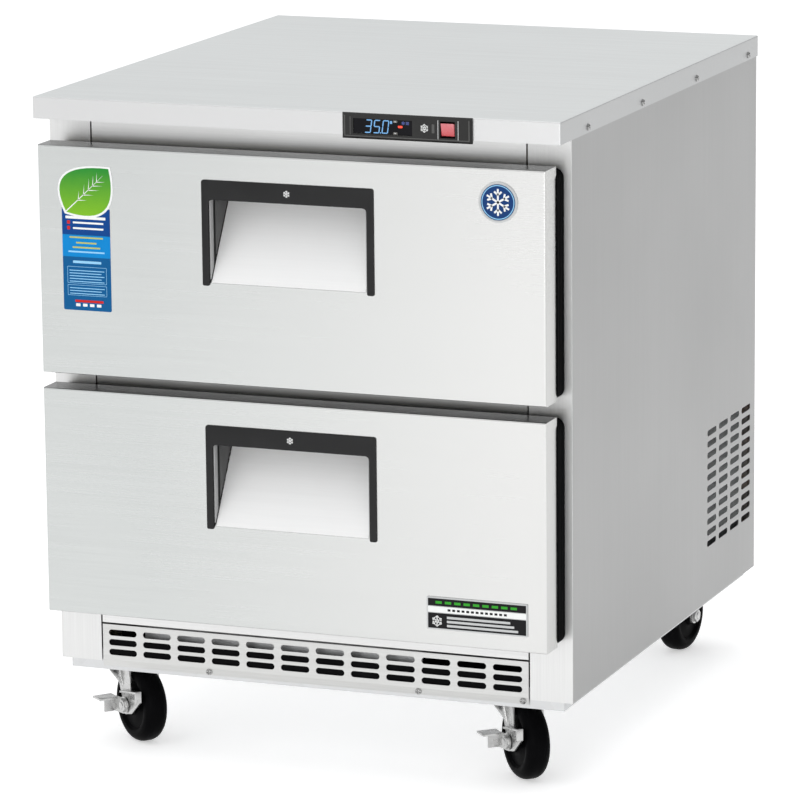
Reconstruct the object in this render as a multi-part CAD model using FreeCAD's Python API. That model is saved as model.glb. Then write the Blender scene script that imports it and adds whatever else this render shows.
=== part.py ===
import FreeCAD, Part
import math
import os

# Two-drawer under counter fridge on casters, in millimetres.
# +X is the object's right as seen from its front, -Y is its front, +Z is up, and Z = 0 is the floor.

# ---- driving dimensions ----
WIDTH = 705.0                     # worktop
BODY_WIDTH = 701.0
DEPTH_BODY = 760.0                # cabinet front plane to back sheet
Y_BACK = 403.0
Y_FRONT = Y_BACK - DEPTH_BODY     # plane of the stiles and rails
TOP_Z = 850.0
WORKTOP_THICK = 28.0
WORKTOP_PROUD = 45.0              # how far the worktop overhangs the cabinet front
BODY_BOTTOM = 110.0               # lower edge of side sheets and stiles
BASE_TOP = 125.0                  # underside of the sheet that carries the casters
BASE_DROP = 98.0                  # lower edge of the base skirt
BASE_HALF = 338.0
SHEET = 1.0                       # stainless and galvanised sheet
GAP = 0.5                         # between slabs of insulation

DRAWER_WIDTH = 678.0
DRAWER_HEIGHT = 292.0
DRAWER_GAP = 20.0
LOWER_Z = 188.0                   # lower edge of the lower drawer front
FRONT_FLANGE = 38.0               # depth of the drawer front's folded edge
GASKET_THICK = 23.7
FACE_Y = Y_FRONT - FRONT_FLANGE - GASKET_THICK - 0.3
OPENING_HALF = 294.0
OPENING_INSET = 20.0              # the drawer front overlaps its opening by this, above and below

WHEEL_R = 50.0
WHEEL_WIDTH = 32.0
TRAIL = 18.0
CASTER_X = 266.0
CASTER_FRONT_Y = Y_FRONT + 40.0
CASTER_BACK_Y = Y_BACK - 45.0
HEADING = {"front_left": 51.0, "front_right": 43.0, "back_left": -12.0, "back_right": -7.0}

BAY_FRONT = 172.0                 # machine bay at the lower rear
BAY_TOP = 400.0
CAVITY_HALF = 297.0
CAVITY_FLOOR = 203.0
CAVITY_TOP = 774.0
STEP_TOP = 446.0                  # inside, above the machine bay
BULKHEAD_Y = 132.0
CAVITY_BACK = 352.0

# control panel on the worktop's front edge: (low x, high x, low z, high z) where four are given
PANEL_X0, PANEL_X1 = 69.0, 239.5
PANEL_Z0, PANEL_Z1 = 818.0, 850.0
PANEL_WELL = 44.0
PANEL_PROUD = 4.0
WINDOW = (84.0, 161.5, 824.5, 843.5)
SWITCH = (196.5, 219.0, 822.5, 846.0)
KEY_X, KEY_Z, KEY_SIZE = 139.0, (826.6, 841.4), (6.0, 3.2)

# side vents and front grille
VENT_ROWS, VENT_COLUMNS = 11, 4
VENT_Z0, VENT_PITCH_Z = 189.0, 15.2
VENT_Y0, VENT_PITCH_Y = Y_FRONT + 566.5, 50.7
VENT_LENGTH, VENT_HEIGHT = 39.0, 8.0
GRILLE_HALF = 292.0
GRILLE_TOP, GRILLE_LOW, GRILLE_LIP = 159.0, 112.0, 103.0
GRILLE_COLUMNS, GRILLE_PITCH, GRILLE_SLOT = 12, 48.0, (39.0, 8.2)
GRILLE_ROWS = (148.3, 135.4, 122.5)
AIR_GAP_LOW = 114.0               # the base skirt is cut down to this behind the grille

# screws and the cord's gland
SCREW_Z = 829.0
SCREW_Y = [Y_FRONT + d for d in (57.0, 268.0, 490.0, 715.0)]
GLAND_X, GLAND_Z, GLAND_R = 255.0, 150.0, 11.0

# refrigeration: fan centres and radii, riser pipes, evaporator coil box
FAN_C, FAN_C_R = (262.0, 289.0, 262.0), 82.0
FAN_E, FAN_E_R = (0.0, 268.0, 662.0), 66.0
LINE_X, LINE_Y = (-215.0, -190.0), 322.0
COIL_E = (-232.0, 232.0, 316.0, 348.0, 572.0, 752.0)

# drawer slides, handle and hand recess
SLIDE_Y0, SLIDE_LENGTH = Y_FRONT + 35, 425.0
SLIDE_DROP = 52.0                 # slide centre below the top of its opening
HANDLE_HALF, HANDLE_BAR, HANDLE_LEG = 115.0, 25.0, 9.5
HANDLE_BELOW_TOP, HANDLE_HEIGHT = 33.0, 134.0
HANDLE_PROUD = 2.0
SCOOP_DEPTH = 66.0
SCOOP_SLOPE_RISE = 109.0
PLUG_BACK = Y_FRONT + 34.0        # rear of the inner panel, inside the cabinet opening

V = FreeCAD.Vector
parts = {}


# ---- helpers ----
def box(x0, x1, y0, y1, z0, z1):
    return Part.makeBox(x1 - x0, y1 - y0, z1 - z0, V(x0, y0, z0))


def cyl(radius, start, direction, length):
    return Part.makeCylinder(radius, length, V(*start), V(*direction))


def prism_x(points, x0, x1):
    """A (y, z) outline carried along X."""
    wire = Part.makePolygon([V(x0, y, z) for y, z in points] + [V(x0, *points[0])])
    return Part.Face(wire).extrude(V(x1 - x0, 0, 0))


def turned(points, centre, direction):
    """A (radius, height) outline turned about the line through centre along direction."""
    wire = Part.makePolygon([V(r, 0, h) for r, h in points + points[:1]])
    solid = Part.Face(wire).revolve(V(0, 0, 0), V(0, 0, 1), 360)
    turn = FreeCAD.Rotation(V(0, 0, 1), V(*direction))
    solid.Placement = FreeCAD.Placement(V(*centre), turn)
    return solid


def slot_cutter(axis, centre, length, height, depth):
    """A round-ended slot, cut along axis "x" or "y"; its length runs across, or up if length < height."""
    r = min(length, height) / 2
    half = max(length, height) / 2 - r
    along = V(0, 0, 1) if height > length else (V(0, 1, 0) if axis == "x" else V(1, 0, 0))
    cut = V(1, 0, 0) if axis == "x" else V(0, 1, 0)
    middle = V(*centre) - cut * (depth / 2)
    ends = [Part.makeCylinder(r, depth, middle + along * (s * half), cut) for s in (-1, 1)]
    size = [2 * half if along[i] else (depth if cut[i] else 2 * r) for i in range(3)]
    corner = V(*centre) - V(size[0] / 2, size[1] / 2, size[2] / 2)
    return ends[0].fuse(ends[1]).fuse(Part.makeBox(*size, corner))


def tube(points, radius, bend):
    """A pipe of straight runs joined by quarter bends at each inner point."""
    pts = [V(*p) for p in points]
    edges, start = [], pts[0]
    for before, corner, after in zip(pts, pts[1:], pts[2:]):
        inward = (corner - before).normalize()
        outward = (after - corner).normalize()
        p0, p1 = corner - inward * bend, corner + outward * bend
        hub = p0 + outward * bend
        mid = hub + (corner - hub).normalize() * bend
        edges += [Part.LineSegment(start, p0).toShape(), Part.Arc(p0, mid, p1).toShape()]
        start = p1
    edges.append(Part.LineSegment(start, pts[-1]).toShape())
    circle = Part.makeCircle(radius, pts[0], pts[1] - pts[0])
    return Part.Wire(edges).makePipeShell([Part.Wire([circle])], True, False)


def add(node, shape):
    parts[node] = shape


def group(shapes):
    return Part.makeCompound(shapes)


def drawer_z(level):
    low = LOWER_Z + level * (DRAWER_HEIGHT + DRAWER_GAP)
    return low, low + DRAWER_HEIGHT


# ---- worktop ----
def worktop():
    half, front, low = WIDTH / 2, Y_FRONT - WORKTOP_PROUD, TOP_Z - WORKTOP_THICK
    skin = box(-half, half, front, Y_BACK, low, TOP_Z)
    rims = [e for e in skin.Edges if all(abs(v.Z - TOP_Z) < 1e-6 for v in e.Vertexes)]
    corners = [e for e in skin.Edges if abs(e.Vertexes[0].Z - e.Vertexes[1].Z) > 1]
    skin = skin.makeFillet(1.5, rims + corners)
    inside = box(-half + SHEET, half - SHEET, front + SHEET, Y_BACK - SHEET, low - 1, TOP_Z - SHEET)
    panel_hole = box(PANEL_X0 + 5, PANEL_X1 - 5, front - 1, front + SHEET + 1, low + 1, TOP_Z - 4)
    add("worktop", skin.cut(inside).cut(panel_hole))
    under = box(-half + SHEET, half - SHEET, front + SHEET, Y_BACK - SHEET, low, low + SHEET)
    well = box(PANEL_X0 + 4, PANEL_X1 - 4, front - 1, front + PANEL_WELL, low - 1, TOP_Z)
    add("worktop_underside", under.cut(well))


# ---- control panel ----
def control_panel():
    face = Y_FRONT - WORKTOP_PROUD - PANEL_PROUD
    back = Y_FRONT - WORKTOP_PROUD
    bezel = box(PANEL_X0, PANEL_X1, face, back, PANEL_Z0, PANEL_Z1)
    rim = [e for e in bezel.Edges if all(abs(v.Y - face) < 1e-6 for v in e.Vertexes)]
    bezel = bezel.makeChamfer(2.0, rim)
    x0, x1, z0, z1 = WINDOW
    bezel = bezel.cut(box(x0, x1, face - 1, back + 1, z0, z1))
    s0, s1, t0, t1 = SWITCH
    housing = box(s0 - 1, s1 + 1, back, back + 30, t0 + 0.8, t1 - 0.8)
    bezel = bezel.fuse(housing).cut(box(s0 + 1.5, s1 - 1.5, face - 1, back + 18, t0 + 1.5, t1 - 1.5))
    add("control_bezel", bezel.removeSplitter())

    clear = 0.2
    module = box(x0 + clear, x1 - clear, face + 1.2, back + 32, z0 + clear, z1 - clear)
    for z in KEY_Z:
        module = module.cut(box(KEY_X - KEY_SIZE[0] / 2 - 0.3, KEY_X + KEY_SIZE[0] / 2 + 0.3, face, face + 4,
                                z - KEY_SIZE[1] / 2 - 0.3, z + KEY_SIZE[1] / 2 + 0.3))
    add("controller_module", module)
    for name, z in zip(("key_down", "key_up"), KEY_Z):
        add(name, box(KEY_X - KEY_SIZE[0] / 2, KEY_X + KEY_SIZE[0] / 2, face + 0.7, face + 2.7,
                      z - KEY_SIZE[1] / 2, z + KEY_SIZE[1] / 2))

    # the rocker is a shallow V seen from the side, turning about its middle
    middle = (t0 + t1) / 2
    reach = (t1 - t0) / 2 - 3.6
    outline = [(face + 0.2, middle), (face - 1.6, middle + reach), (back + 4, middle + reach - 1.5),
               (back + 9, middle), (back + 4, middle - reach + 1.5), (face + 2.0, middle - reach)]
    add("rocker_switch", prism_x(outline, s0 + 2.6, s1 - 2.6))


# ---- cabinet ----
def side_panels():
    half = BODY_WIDTH / 2
    low = TOP_Z - WORKTOP_THICK
    for name, side in (("side_panel_left", -1), ("side_panel_right", 1)):
        x0, x1 = sorted((side * half, side * (half - SHEET)))
        panel = box(x0, x1, Y_FRONT + SHEET, Y_BACK - SHEET, BODY_BOTTOM, low)
        r0, r1 = sorted((side * (half - SHEET), side * (half - 10)))
        panel = panel.fuse(box(r0, r1, Y_FRONT + 60, Y_BACK - SHEET, BODY_BOTTOM, BODY_BOTTOM + SHEET))
        panel = panel.fuse(box(r0, r1, Y_BACK - 2 * SHEET, Y_BACK - SHEET, BODY_BOTTOM, low))
        slots = [slot_cutter("x", (side * half, VENT_Y0 + c * VENT_PITCH_Y, VENT_Z0 + r * VENT_PITCH_Z),
                             VENT_LENGTH, VENT_HEIGHT, 8)
                 for r in range(VENT_ROWS) for c in range(VENT_COLUMNS)]
        add(name, panel.cut(slots).removeSplitter())


def front_frame():
    low = TOP_Z - WORKTOP_THICK
    half, depth = BODY_WIDTH / 2, 25.0
    for name, side in (("frame_stile_left", -1), ("frame_stile_right", 1)):
        x0, x1 = sorted((side * OPENING_HALF, side * half))
        stile = box(x0, x1, Y_FRONT, Y_FRONT + SHEET, BODY_BOTTOM, low)
        i0, i1 = sorted((side * OPENING_HALF, side * (OPENING_HALF + SHEET)))
        stile = stile.fuse(box(i0, i1, Y_FRONT, Y_FRONT + depth, BASE_TOP + 2 * SHEET, low))
        add(name, stile.removeSplitter())
    lower, upper = drawer_z(0), drawer_z(1)
    rails = {"frame_sill": (GRILLE_TOP + 2.5, lower[0] + OPENING_INSET),
             "frame_rail_middle": (lower[1] - OPENING_INSET, upper[0] + OPENING_INSET),
             "frame_rail_top": (upper[1] - OPENING_INSET, low)}
    span = OPENING_HALF - 2.0
    for name, (z0, z1) in rails.items():
        rail = box(-span, span, Y_FRONT, Y_FRONT + SHEET, z0, z1)
        rail = rail.fuse(box(-span, span, Y_FRONT, Y_FRONT + depth, z0, z0 + SHEET))
        rail = rail.fuse(box(-span, span, Y_FRONT, Y_FRONT + depth, z1 - SHEET, z1))
        add(name, rail.removeSplitter())


def insulation():
    half, low = BODY_WIDTH / 2 - SHEET - GAP, TOP_Z - WORKTOP_THICK - GAP
    inner, start = CAVITY_HALF + SHEET + GAP, Y_FRONT + 26
    back = Y_BACK - 2 * SHEET - GAP
    under = CAVITY_FLOOR - 40
    slabs = []
    for side in (-1, 1):
        x0, x1 = sorted((side * inner, side * half))
        slabs.append(box(x0, x1, start, back, BAY_TOP + 1, low))
        slabs.append(box(x0, x1, start, BAY_FRONT, under, BAY_TOP + 1 - GAP))
    wide = inner - 2 * GAP
    slabs.append(box(-wide, wide, start, CAVITY_BACK, CAVITY_TOP + SHEET + GAP, low))
    slabs.append(box(-wide, wide, CAVITY_BACK + SHEET + GAP, back, BAY_TOP + 1, low))
    slabs.append(box(-wide, wide, start, BULKHEAD_Y, under, CAVITY_FLOOR - SHEET - GAP))
    slabs.append(box(-wide, wide, BULKHEAD_Y + SHEET + GAP, BAY_FRONT, under, STEP_TOP - SHEET - GAP))
    step = box(-wide, wide, BAY_FRONT + GAP, CAVITY_BACK, BAY_TOP + 1, STEP_TOP - SHEET - GAP)
    slabs.append(step.cut([cyl(8, (x, LINE_Y, BAY_TOP - 5), (0, 0, 1), 60) for x in LINE_X]))
    slabs.append(box(-WIDTH / 2 + 2, WIDTH / 2 - 2, Y_FRONT + GAP, Y_BACK - 2,
                     TOP_Z - WORKTOP_THICK + SHEET + GAP, TOP_Z - SHEET - GAP))
    add("insulation", group(slabs))


def inner_liner():
    front = Y_FRONT + 26
    outer = box(-CAVITY_HALF - SHEET, CAVITY_HALF + SHEET, front, CAVITY_BACK + SHEET,
                STEP_TOP - SHEET, CAVITY_TOP + SHEET)
    outer = outer.fuse(box(-CAVITY_HALF - SHEET, CAVITY_HALF + SHEET, front, BULKHEAD_Y + SHEET,
                           CAVITY_FLOOR - SHEET, STEP_TOP))
    hollow = box(-CAVITY_HALF, CAVITY_HALF, front - 1, CAVITY_BACK, STEP_TOP, CAVITY_TOP)
    hollow = hollow.fuse(box(-CAVITY_HALF, CAVITY_HALF, front - 1, BULKHEAD_Y, CAVITY_FLOOR, STEP_TOP + 1))
    liner = outer.cut(hollow)
    for x in LINE_X:
        liner = liner.cut(cyl(8, (x, LINE_Y, STEP_TOP - 10), (0, 0, 1), 20))
    add("inner_liner", liner.removeSplitter())


def base_frame():
    front, back = Y_FRONT + 3.2, Y_BACK - 8
    base = box(-BASE_HALF, BASE_HALF, front, back, BASE_DROP, BASE_TOP + SHEET)
    base = base.cut(box(-BASE_HALF + 1.5, BASE_HALF - 1.5, front + 1.5, back - 1.5, BASE_DROP - 1, BASE_TOP))
    # notch behind the front grille, and the galvanised cross member seen through its top slots
    base = base.cut(box(-GRILLE_HALF + 6, GRILLE_HALF - 6, front - 1, front + 12, AIR_GAP_LOW, BASE_TOP + 2))
    member_y = front + 14
    member = box(-240, 144, member_y, member_y + 1.5, 139.8, 160)
    foot = box(-240, 144, member_y, member_y + 16, 159, 160)
    posts = [box(x, x + 20, member_y, member_y + 1.5, BASE_TOP + SHEET - 0.5, 150) for x in (-200, 110)]
    for piece in [member, foot] + posts:
        base = base.fuse(piece)
    add("base_frame", base.removeSplitter())


def kick_grille():
    lip_y = Y_FRONT + 2.2
    outline = [(Y_FRONT, GRILLE_TOP), (Y_FRONT, GRILLE_LOW), (lip_y, GRILLE_LIP), (lip_y + SHEET, GRILLE_LIP),
               (Y_FRONT + SHEET, GRILLE_LOW), (Y_FRONT + SHEET, GRILLE_TOP - SHEET),
               (Y_FRONT + 11, GRILLE_TOP - SHEET), (Y_FRONT + 11, GRILLE_TOP)]
    grille = prism_x(outline, -GRILLE_HALF, GRILLE_HALF)
    first = -GRILLE_PITCH * (GRILLE_COLUMNS - 1) / 2
    slots = [slot_cutter("y", (first + i * GRILLE_PITCH, Y_FRONT, z), *GRILLE_SLOT, 6)
             for i in range(GRILLE_COLUMNS) for z in GRILLE_ROWS]
    add("kick_grille", grille.cut(slots))


def back_panels():
    half, low = BODY_WIDTH / 2 - SHEET, TOP_Z - WORKTOP_THICK
    add("back_panel", box(-half, half, Y_BACK - SHEET, Y_BACK, BAY_TOP + 2, low))
    cover = box(-half, half, Y_BACK - SHEET, Y_BACK, BODY_BOTTOM + 2, BAY_TOP + 1)
    louvres = [slot_cutter("y", (x, Y_BACK, 170 + 17 * r), 120, 7, 6) for x in (-240, -80, 80) for r in range(12)]
    cover = cover.cut(louvres).cut(cyl(GLAND_R + 0.05, (GLAND_X, Y_BACK - 5, GLAND_Z), (0, 1, 0), 10))
    add("machine_cover", cover)
    nose = [(3.6, 0), (GLAND_R, 0), (GLAND_R, 16), (15, 16), (15, 22), (11, 24), (8, 34), (3.6, 34)]
    add("power_inlet", turned(nose, (GLAND_X, Y_BACK - 16, GLAND_Z), (0, 1, 0)))


def fasteners():
    head = [(0, 0), (4.5, 0), (4.2, 1.2), (2.6, 2.3), (0, 2.6)]
    screws = [turned(head, (side * WIDTH / 2, y, SCREW_Z), (side, 0, 0)) for side in (-1, 1) for y in SCREW_Y]
    lip_y = Y_FRONT + 1.02
    small = [(0, 0), (3.4, 0), (3.0, 1.2), (0, 1.9)]
    screws += [turned(small, (x, lip_y, 107.6), (0, -9, -2.2)) for x in (-143.7, 143.7, 284.0)]
    add("fasteners", group(screws))


# ---- refrigeration ----
def fan(centre, radius, direction, blades):
    hub = turned([(4.05, 0), (20, 0), (20, 14), (16, 18), (4.05, 18)], (0, 0, 0), (0, 0, 1))
    for i in range(blades):
        blade = Part.makeBox(radius - 17, 38, 2.0, V(17, -19, -1))
        blade.rotate(V(0, 0, 0), V(1, 0, 0), 20)
        blade.translate(V(0, 0, 9))
        blade.rotate(V(0, 0, 0), V(0, 0, 1), 360.0 * i / blades)
        hub = hub.fuse(blade)
    hub = hub.common(turned([(4.05, 0), (radius, 0), (radius, 18), (4.05, 18)], (0, 0, 0), (0, 0, 1)))
    hub.Placement = FreeCAD.Placement(V(*centre), FreeCAD.Rotation(V(0, 0, 1), V(*direction)))
    return hub


def refrigeration():
    cx, cy, cz = FAN_C
    add("condenser_fan", fan((cx - 20, cy, cz), FAN_C_R, (1, 0, 0), 5))
    add("condenser_coil", box(302, 340, cy - 96, cy + 84, cz - 104, cz + 92))
    shroud = box(286, 288, cy - 98, cy + 94, BASE_TOP + SHEET, cz + 96)
    shroud = shroud.fuse(cyl(FAN_C_R + 8, (cx - 16, cy, cz), (1, 0, 0), 288 - cx + 16))
    shroud = shroud.cut(cyl(FAN_C_R + 5, (cx - 40, cy, cz), (1, 0, 0), 80))
    motor = cyl(34, (cx - 74, cy, cz), (1, 0, 0), 46).fuse(cyl(4, (cx - 30, cy, cz), (1, 0, 0), 24))
    arms = [box(cx - 60, cx - 10, cy - 4, cy + 4, *sorted((cz + s * 30, cz + s * (FAN_C_R + 7)))) for s in (-1, 1)]
    arms = [arm.cut(cyl(FAN_C_R + 5, (cx - 25, cy, cz), (1, 0, 0), 30)) for arm in arms]
    shroud = shroud.fuse([motor] + arms)
    add("condenser_shroud", shroud.removeSplitter())

    dome = [(0, 0), (52, 0), (70, 12), (74, 40), (74, 105), (66, 135), (44, 155), (18, 162), (0, 162)]
    body = turned(dome, (-120, 288, BASE_TOP + 15), (0, 0, 1))
    feet = box(-205, -35, 218, 358, BASE_TOP + 10, BASE_TOP + 16)
    pads = [cyl(11, (x, y, BASE_TOP + SHEET), (0, 0, 1), 10) for x in (-190, -50) for y in (232, 344)]
    add("compressor", body.fuse([feet] + pads).removeSplitter())

    ex, ey, ez = FAN_E
    x0, x1, y0, y1, z0, z1 = COIL_E
    add("evaporator_coil", box(*COIL_E))
    add("evaporator_fan", fan((ex, ey - 4, ez), FAN_E_R, (0, 1, 0), 5))
    cover = box(x0 - 14, x1 + 14, ey - 16, y1 + 3, z0 - 12, z1 + 12)
    cover = cover.cut(box(x0 - 12, x1 + 12, ey - 14, y1 + 4, z0 - 10, z1 + 10))
    cover = cover.cut(cyl(FAN_E_R + 5, (ex, ey - 30, ez), (0, 1, 0), 30))
    cover = cover.cut([cyl(9, (x, LINE_Y, z0 - 20), (0, 0, 1), 40) for x in LINE_X])
    motor = cyl(26, (ex, ey + 20, ez), (0, 1, 0), 24).fuse(cyl(4, (ex, ey - 3, ez), (0, 1, 0), 25))
    strut = box(x0 - 13, x1 + 13, ey + 26, ey + 34, ez - 6, ez + 6)
    add("evaporator_housing", cover.fuse([motor, strut]).removeSplitter())

    base_z = BASE_TOP + 60
    suction = tube([(-194.5, 288, base_z + 40), (-215, 288, base_z + 40), (-215, LINE_Y, base_z + 40),
                    (-215, LINE_Y, z0 - 1)], 5, 9)
    coil_x, front_y, high_z = 321, BAY_FRONT + 9, BAY_TOP - 15
    liquid = tube([(coil_x, cy - 97, 180), (coil_x, front_y, 180), (coil_x, front_y, high_z),
                   (-190, front_y, high_z), (-190, LINE_Y, high_z), (-190, LINE_Y, z0 - 1)], 3, 10)
    rear_y = Y_BACK - 9
    discharge = tube([(-120, 362.5, base_z + 30), (-120, rear_y, base_z + 30), (coil_x, rear_y, base_z + 30),
                      (coil_x, cy + 84.5, base_z + 30)], 4, 8)
    add("refrigerant_lines", group([suction, liquid, discharge]))


# ---- drawer slides: three nested channels on each side ----
def channel(side, web_x, depth, half_height, thick, z, length=SLIDE_LENGTH):
    """A C section, its web at web_x and its lips turned towards the middle of the cabinet."""
    w0, w1 = sorted((side * web_x, side * (web_x - thick)))
    f0, f1 = sorted((side * web_x, side * (web_x - depth)))
    y1 = SLIDE_Y0 + length
    bar = box(w0, w1, SLIDE_Y0, y1, z - half_height, z + half_height)
    for low in (z - half_height, z + half_height - thick):
        bar = bar.fuse(box(f0, f1, SLIDE_Y0, y1, low, low + thick))
    return bar.removeSplitter()


def slides():
    fixed = []
    for level in (0, 1):
        z = drawer_z(level)[1] - OPENING_INSET - SLIDE_DROP
        fixed += [channel(side, CAVITY_HALF - 4.0, 12.0, 23.0, 1.5, z) for side in (-1, 1)]
        name = ("lower", "upper")[level] + "_slide_members"
        add(name, group([channel(side, CAVITY_HALF - 6.2, 11.0, 19.5, 1.5, z) for side in (-1, 1)]))
    straps = [box(*sorted((side * (CAVITY_HALF - 4.0), side * (CAVITY_HALF - 0.3))), y, y + 26, 240, 745)
              for side in (-1, 1) for y in (SLIDE_Y0 + 40, SLIDE_Y0 + 360)]
    left = [s for s in fixed + straps if s.BoundBox.XMax < 0]
    right = [s for s in fixed + straps if s.BoundBox.XMin > 0]
    add("slide_racks", group([side[0].fuse(side[1:]).removeSplitter() for side in (left, right)]))


# ---- drawers ----
def scoop_outline(top, grow):
    """(y, z) outline of the hand recess, larger by grow, and open at the drawer face."""
    low = top - HANDLE_HEIGHT + 3
    return [(FACE_Y - 5, low - grow), (FACE_Y, low - grow), (FACE_Y + SCOOP_DEPTH + grow, low + SCOOP_SLOPE_RISE - grow),
            (FACE_Y + SCOOP_DEPTH + grow, top - 4 + grow), (FACE_Y - 5, top - 4 + grow)]


def drawer(level):
    name = ("lower", "upper")[level]
    z0, z1 = drawer_z(level)
    half = DRAWER_WIDTH / 2
    flange_back = FACE_Y + FRONT_FLANGE
    top = z1 - HANDLE_BELOW_TOP
    mouth = HANDLE_HALF - HANDLE_LEG

    # front: face and folded edges of one sheet, with the sloping back of the hand recess pressed into it
    front = box(-half, half, FACE_Y, flange_back, z0, z1)
    edges = [e for e in front.Edges if all(abs(v.Y - FACE_Y) < 1e-6 for v in e.Vertexes)]
    front = front.makeFillet(2.0, edges)
    front = front.cut(box(-half + SHEET, half - SHEET, FACE_Y + SHEET, flange_back + 1, z0 + SHEET, z1 - SHEET))
    pressed = prism_x(scoop_outline(top, SHEET), -mouth - 2, mouth + 2)
    pressed = pressed.common(box(-half, half, FACE_Y, FACE_Y + 100, z0, z1))
    recess = prism_x(scoop_outline(top, 0), -mouth - 1, mouth + 1)
    front = front.fuse(pressed).cut(recess)
    add(name + "_front", front.removeSplitter())

    # handle moulding: grip bar across the top, two legs, and a triangular cheek behind each leg
    y0 = FACE_Y - HANDLE_PROUD
    bar = box(-HANDLE_HALF, HANDLE_HALF, y0, FACE_Y, top - HANDLE_BAR, top)
    legs = [box(*sorted((s * HANDLE_HALF, s * mouth)), y0, FACE_Y, top - HANDLE_HEIGHT, top) for s in (-1, 1)]
    frame = bar.fuse(legs).removeSplitter()
    rim = [e for e in frame.Edges if all(abs(v.Y - y0) < 1e-6 for v in e.Vertexes)]
    frame = frame.makeFillet(1.2, rim)
    low = top - HANDLE_HEIGHT + 3
    cheek = [(FACE_Y - 0.5, low), (FACE_Y - 0.5, top - 5), (FACE_Y + SCOOP_DEPTH - 0.5, top - 5),
             (FACE_Y + SCOOP_DEPTH - 0.5, low + SCOOP_SLOPE_RISE), (FACE_Y, low + 1)]
    cheeks = [prism_x(cheek, *sorted((s * (mouth + 0.6), s * (mouth - 1.8)))) for s in (-1, 1)]
    grip = box(-mouth, mouth, FACE_Y - 0.5, FACE_Y + 6, top - HANDLE_BAR, top - 4.5)
    add(name + "_handle", frame.fuse(cheeks + [grip]).removeSplitter())

    # inner panel: a shallow plug that reaches into the cabinet opening
    open0, open1 = z0 + OPENING_INSET + 7, z1 - OPENING_INSET - 7
    plug_half = OPENING_HALF - 9
    panel = box(-half + 4, half - 4, flange_back - SHEET - 0.2, flange_back - 0.2, z0 + 4, z1 - 4)
    panel = panel.fuse(box(-plug_half, plug_half, flange_back - SHEET - 0.2, PLUG_BACK, open0, open1))
    panel = panel.cut(box(-plug_half + 2, plug_half - 2, flange_back - 5, PLUG_BACK - 2, open0 + 2, open1 - 2))
    add(name + "_inner_panel", panel.removeSplitter())

    # insulating core, in blocks that fill the front and the plug all round the recess
    side, skin = mouth + 3, SHEET + GAP
    c0, c1 = FACE_Y + skin, flange_back - SHEET - GAP - 0.2
    p0, p1 = c1 + GAP, PLUG_BACK - 2 - GAP
    k0, k1 = open0 + 2 + GAP, open1 - 2 - GAP
    core = []
    for s in (-1, 1):
        core.append(box(*sorted((s * side, s * (half - skin))), c0, c1, z0 + skin, z1 - skin))
        core.append(box(*sorted((s * side, s * (plug_half - 2 - GAP))), p0, p1, k0, k1))
    inner_side = side - GAP

    def under_slope(y):
        return low - 8 + (y - FACE_Y) * SCOOP_SLOPE_RISE / SCOOP_DEPTH

    for y0, y1, floor in ((c0, c1, z0 + skin), (p0, FACE_Y + SCOOP_DEPTH, k0)):
        core.append(prism_x([(y0, floor), (y1, floor), (y1, under_slope(y1)), (y0, under_slope(y0))],
                            -inner_side, inner_side))
    core.append(box(-inner_side, inner_side, c0, c1, top - 4 + skin, z1 - skin))
    core.append(box(-inner_side, inner_side, FACE_Y + SCOOP_DEPTH + skin, p1, k0, k1))
    add(name + "_core", group(core))

    # gasket frame on the back of the front
    outer = box(-half + 1.5, half - 1.5, flange_back, flange_back + GASKET_THICK, z0 + 1.5, z1 - 1.5)
    posts = [e for e in outer.Edges if abs(e.Vertexes[0].Y - e.Vertexes[1].Y) > 1]
    outer = outer.makeFillet(10, posts)
    inner = box(-OPENING_HALF + 6, OPENING_HALF - 6, flange_back - 1, flange_back + GASKET_THICK + 1,
                z0 + OPENING_INSET + 4, z1 - OPENING_INSET - 4)
    add(name + "_gasket", outer.cut(inner))

    # pan frame: side rails, back rail and divider, all hung on the inner slide members
    rail_top = z1 - OPENING_INSET - 14
    slide_z = z1 - OPENING_INSET - SLIDE_DROP
    back = SLIDE_Y0 + SLIDE_LENGTH
    tray = []
    for s in (-1, 1):
        x0, x1 = sorted((s * 268, s * 270))
        tray.append(box(x0, x1, PLUG_BACK + 0.0, back, slide_z - 30, rail_top))
        f0, f1 = sorted((s * 262, s * 268))
        tray.append(box(f0, f1, PLUG_BACK, back, rail_top - 2, rail_top))
        m0, m1 = sorted((s * 270, s * (CAVITY_HALF - 8.4)))
        tray.append(box(m0, m1, SLIDE_Y0 + 5, back, slide_z - 16, slide_z + 16))
    tray.append(box(-268, 268, back - 2, back, slide_z - 30, rail_top))
    tray.append(box(-268, 268, PLUG_BACK, PLUG_BACK + 2, slide_z - 30, rail_top))
    tray.append(box(-268, 268, PLUG_BACK + 333, PLUG_BACK + 343, rail_top - 14, rail_top))
    add(name + "_pan_frame", tray[0].fuse(tray[1:]).removeSplitter())


# ---- casters ----
def caster_places():
    for end, y in (("front", CASTER_FRONT_Y), ("back", CASTER_BACK_Y)):
        for side, x in (("left", -CASTER_X), ("right", CASTER_X)):
            yield end + "_" + side, end == "front", V(x, y, 0)


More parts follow.
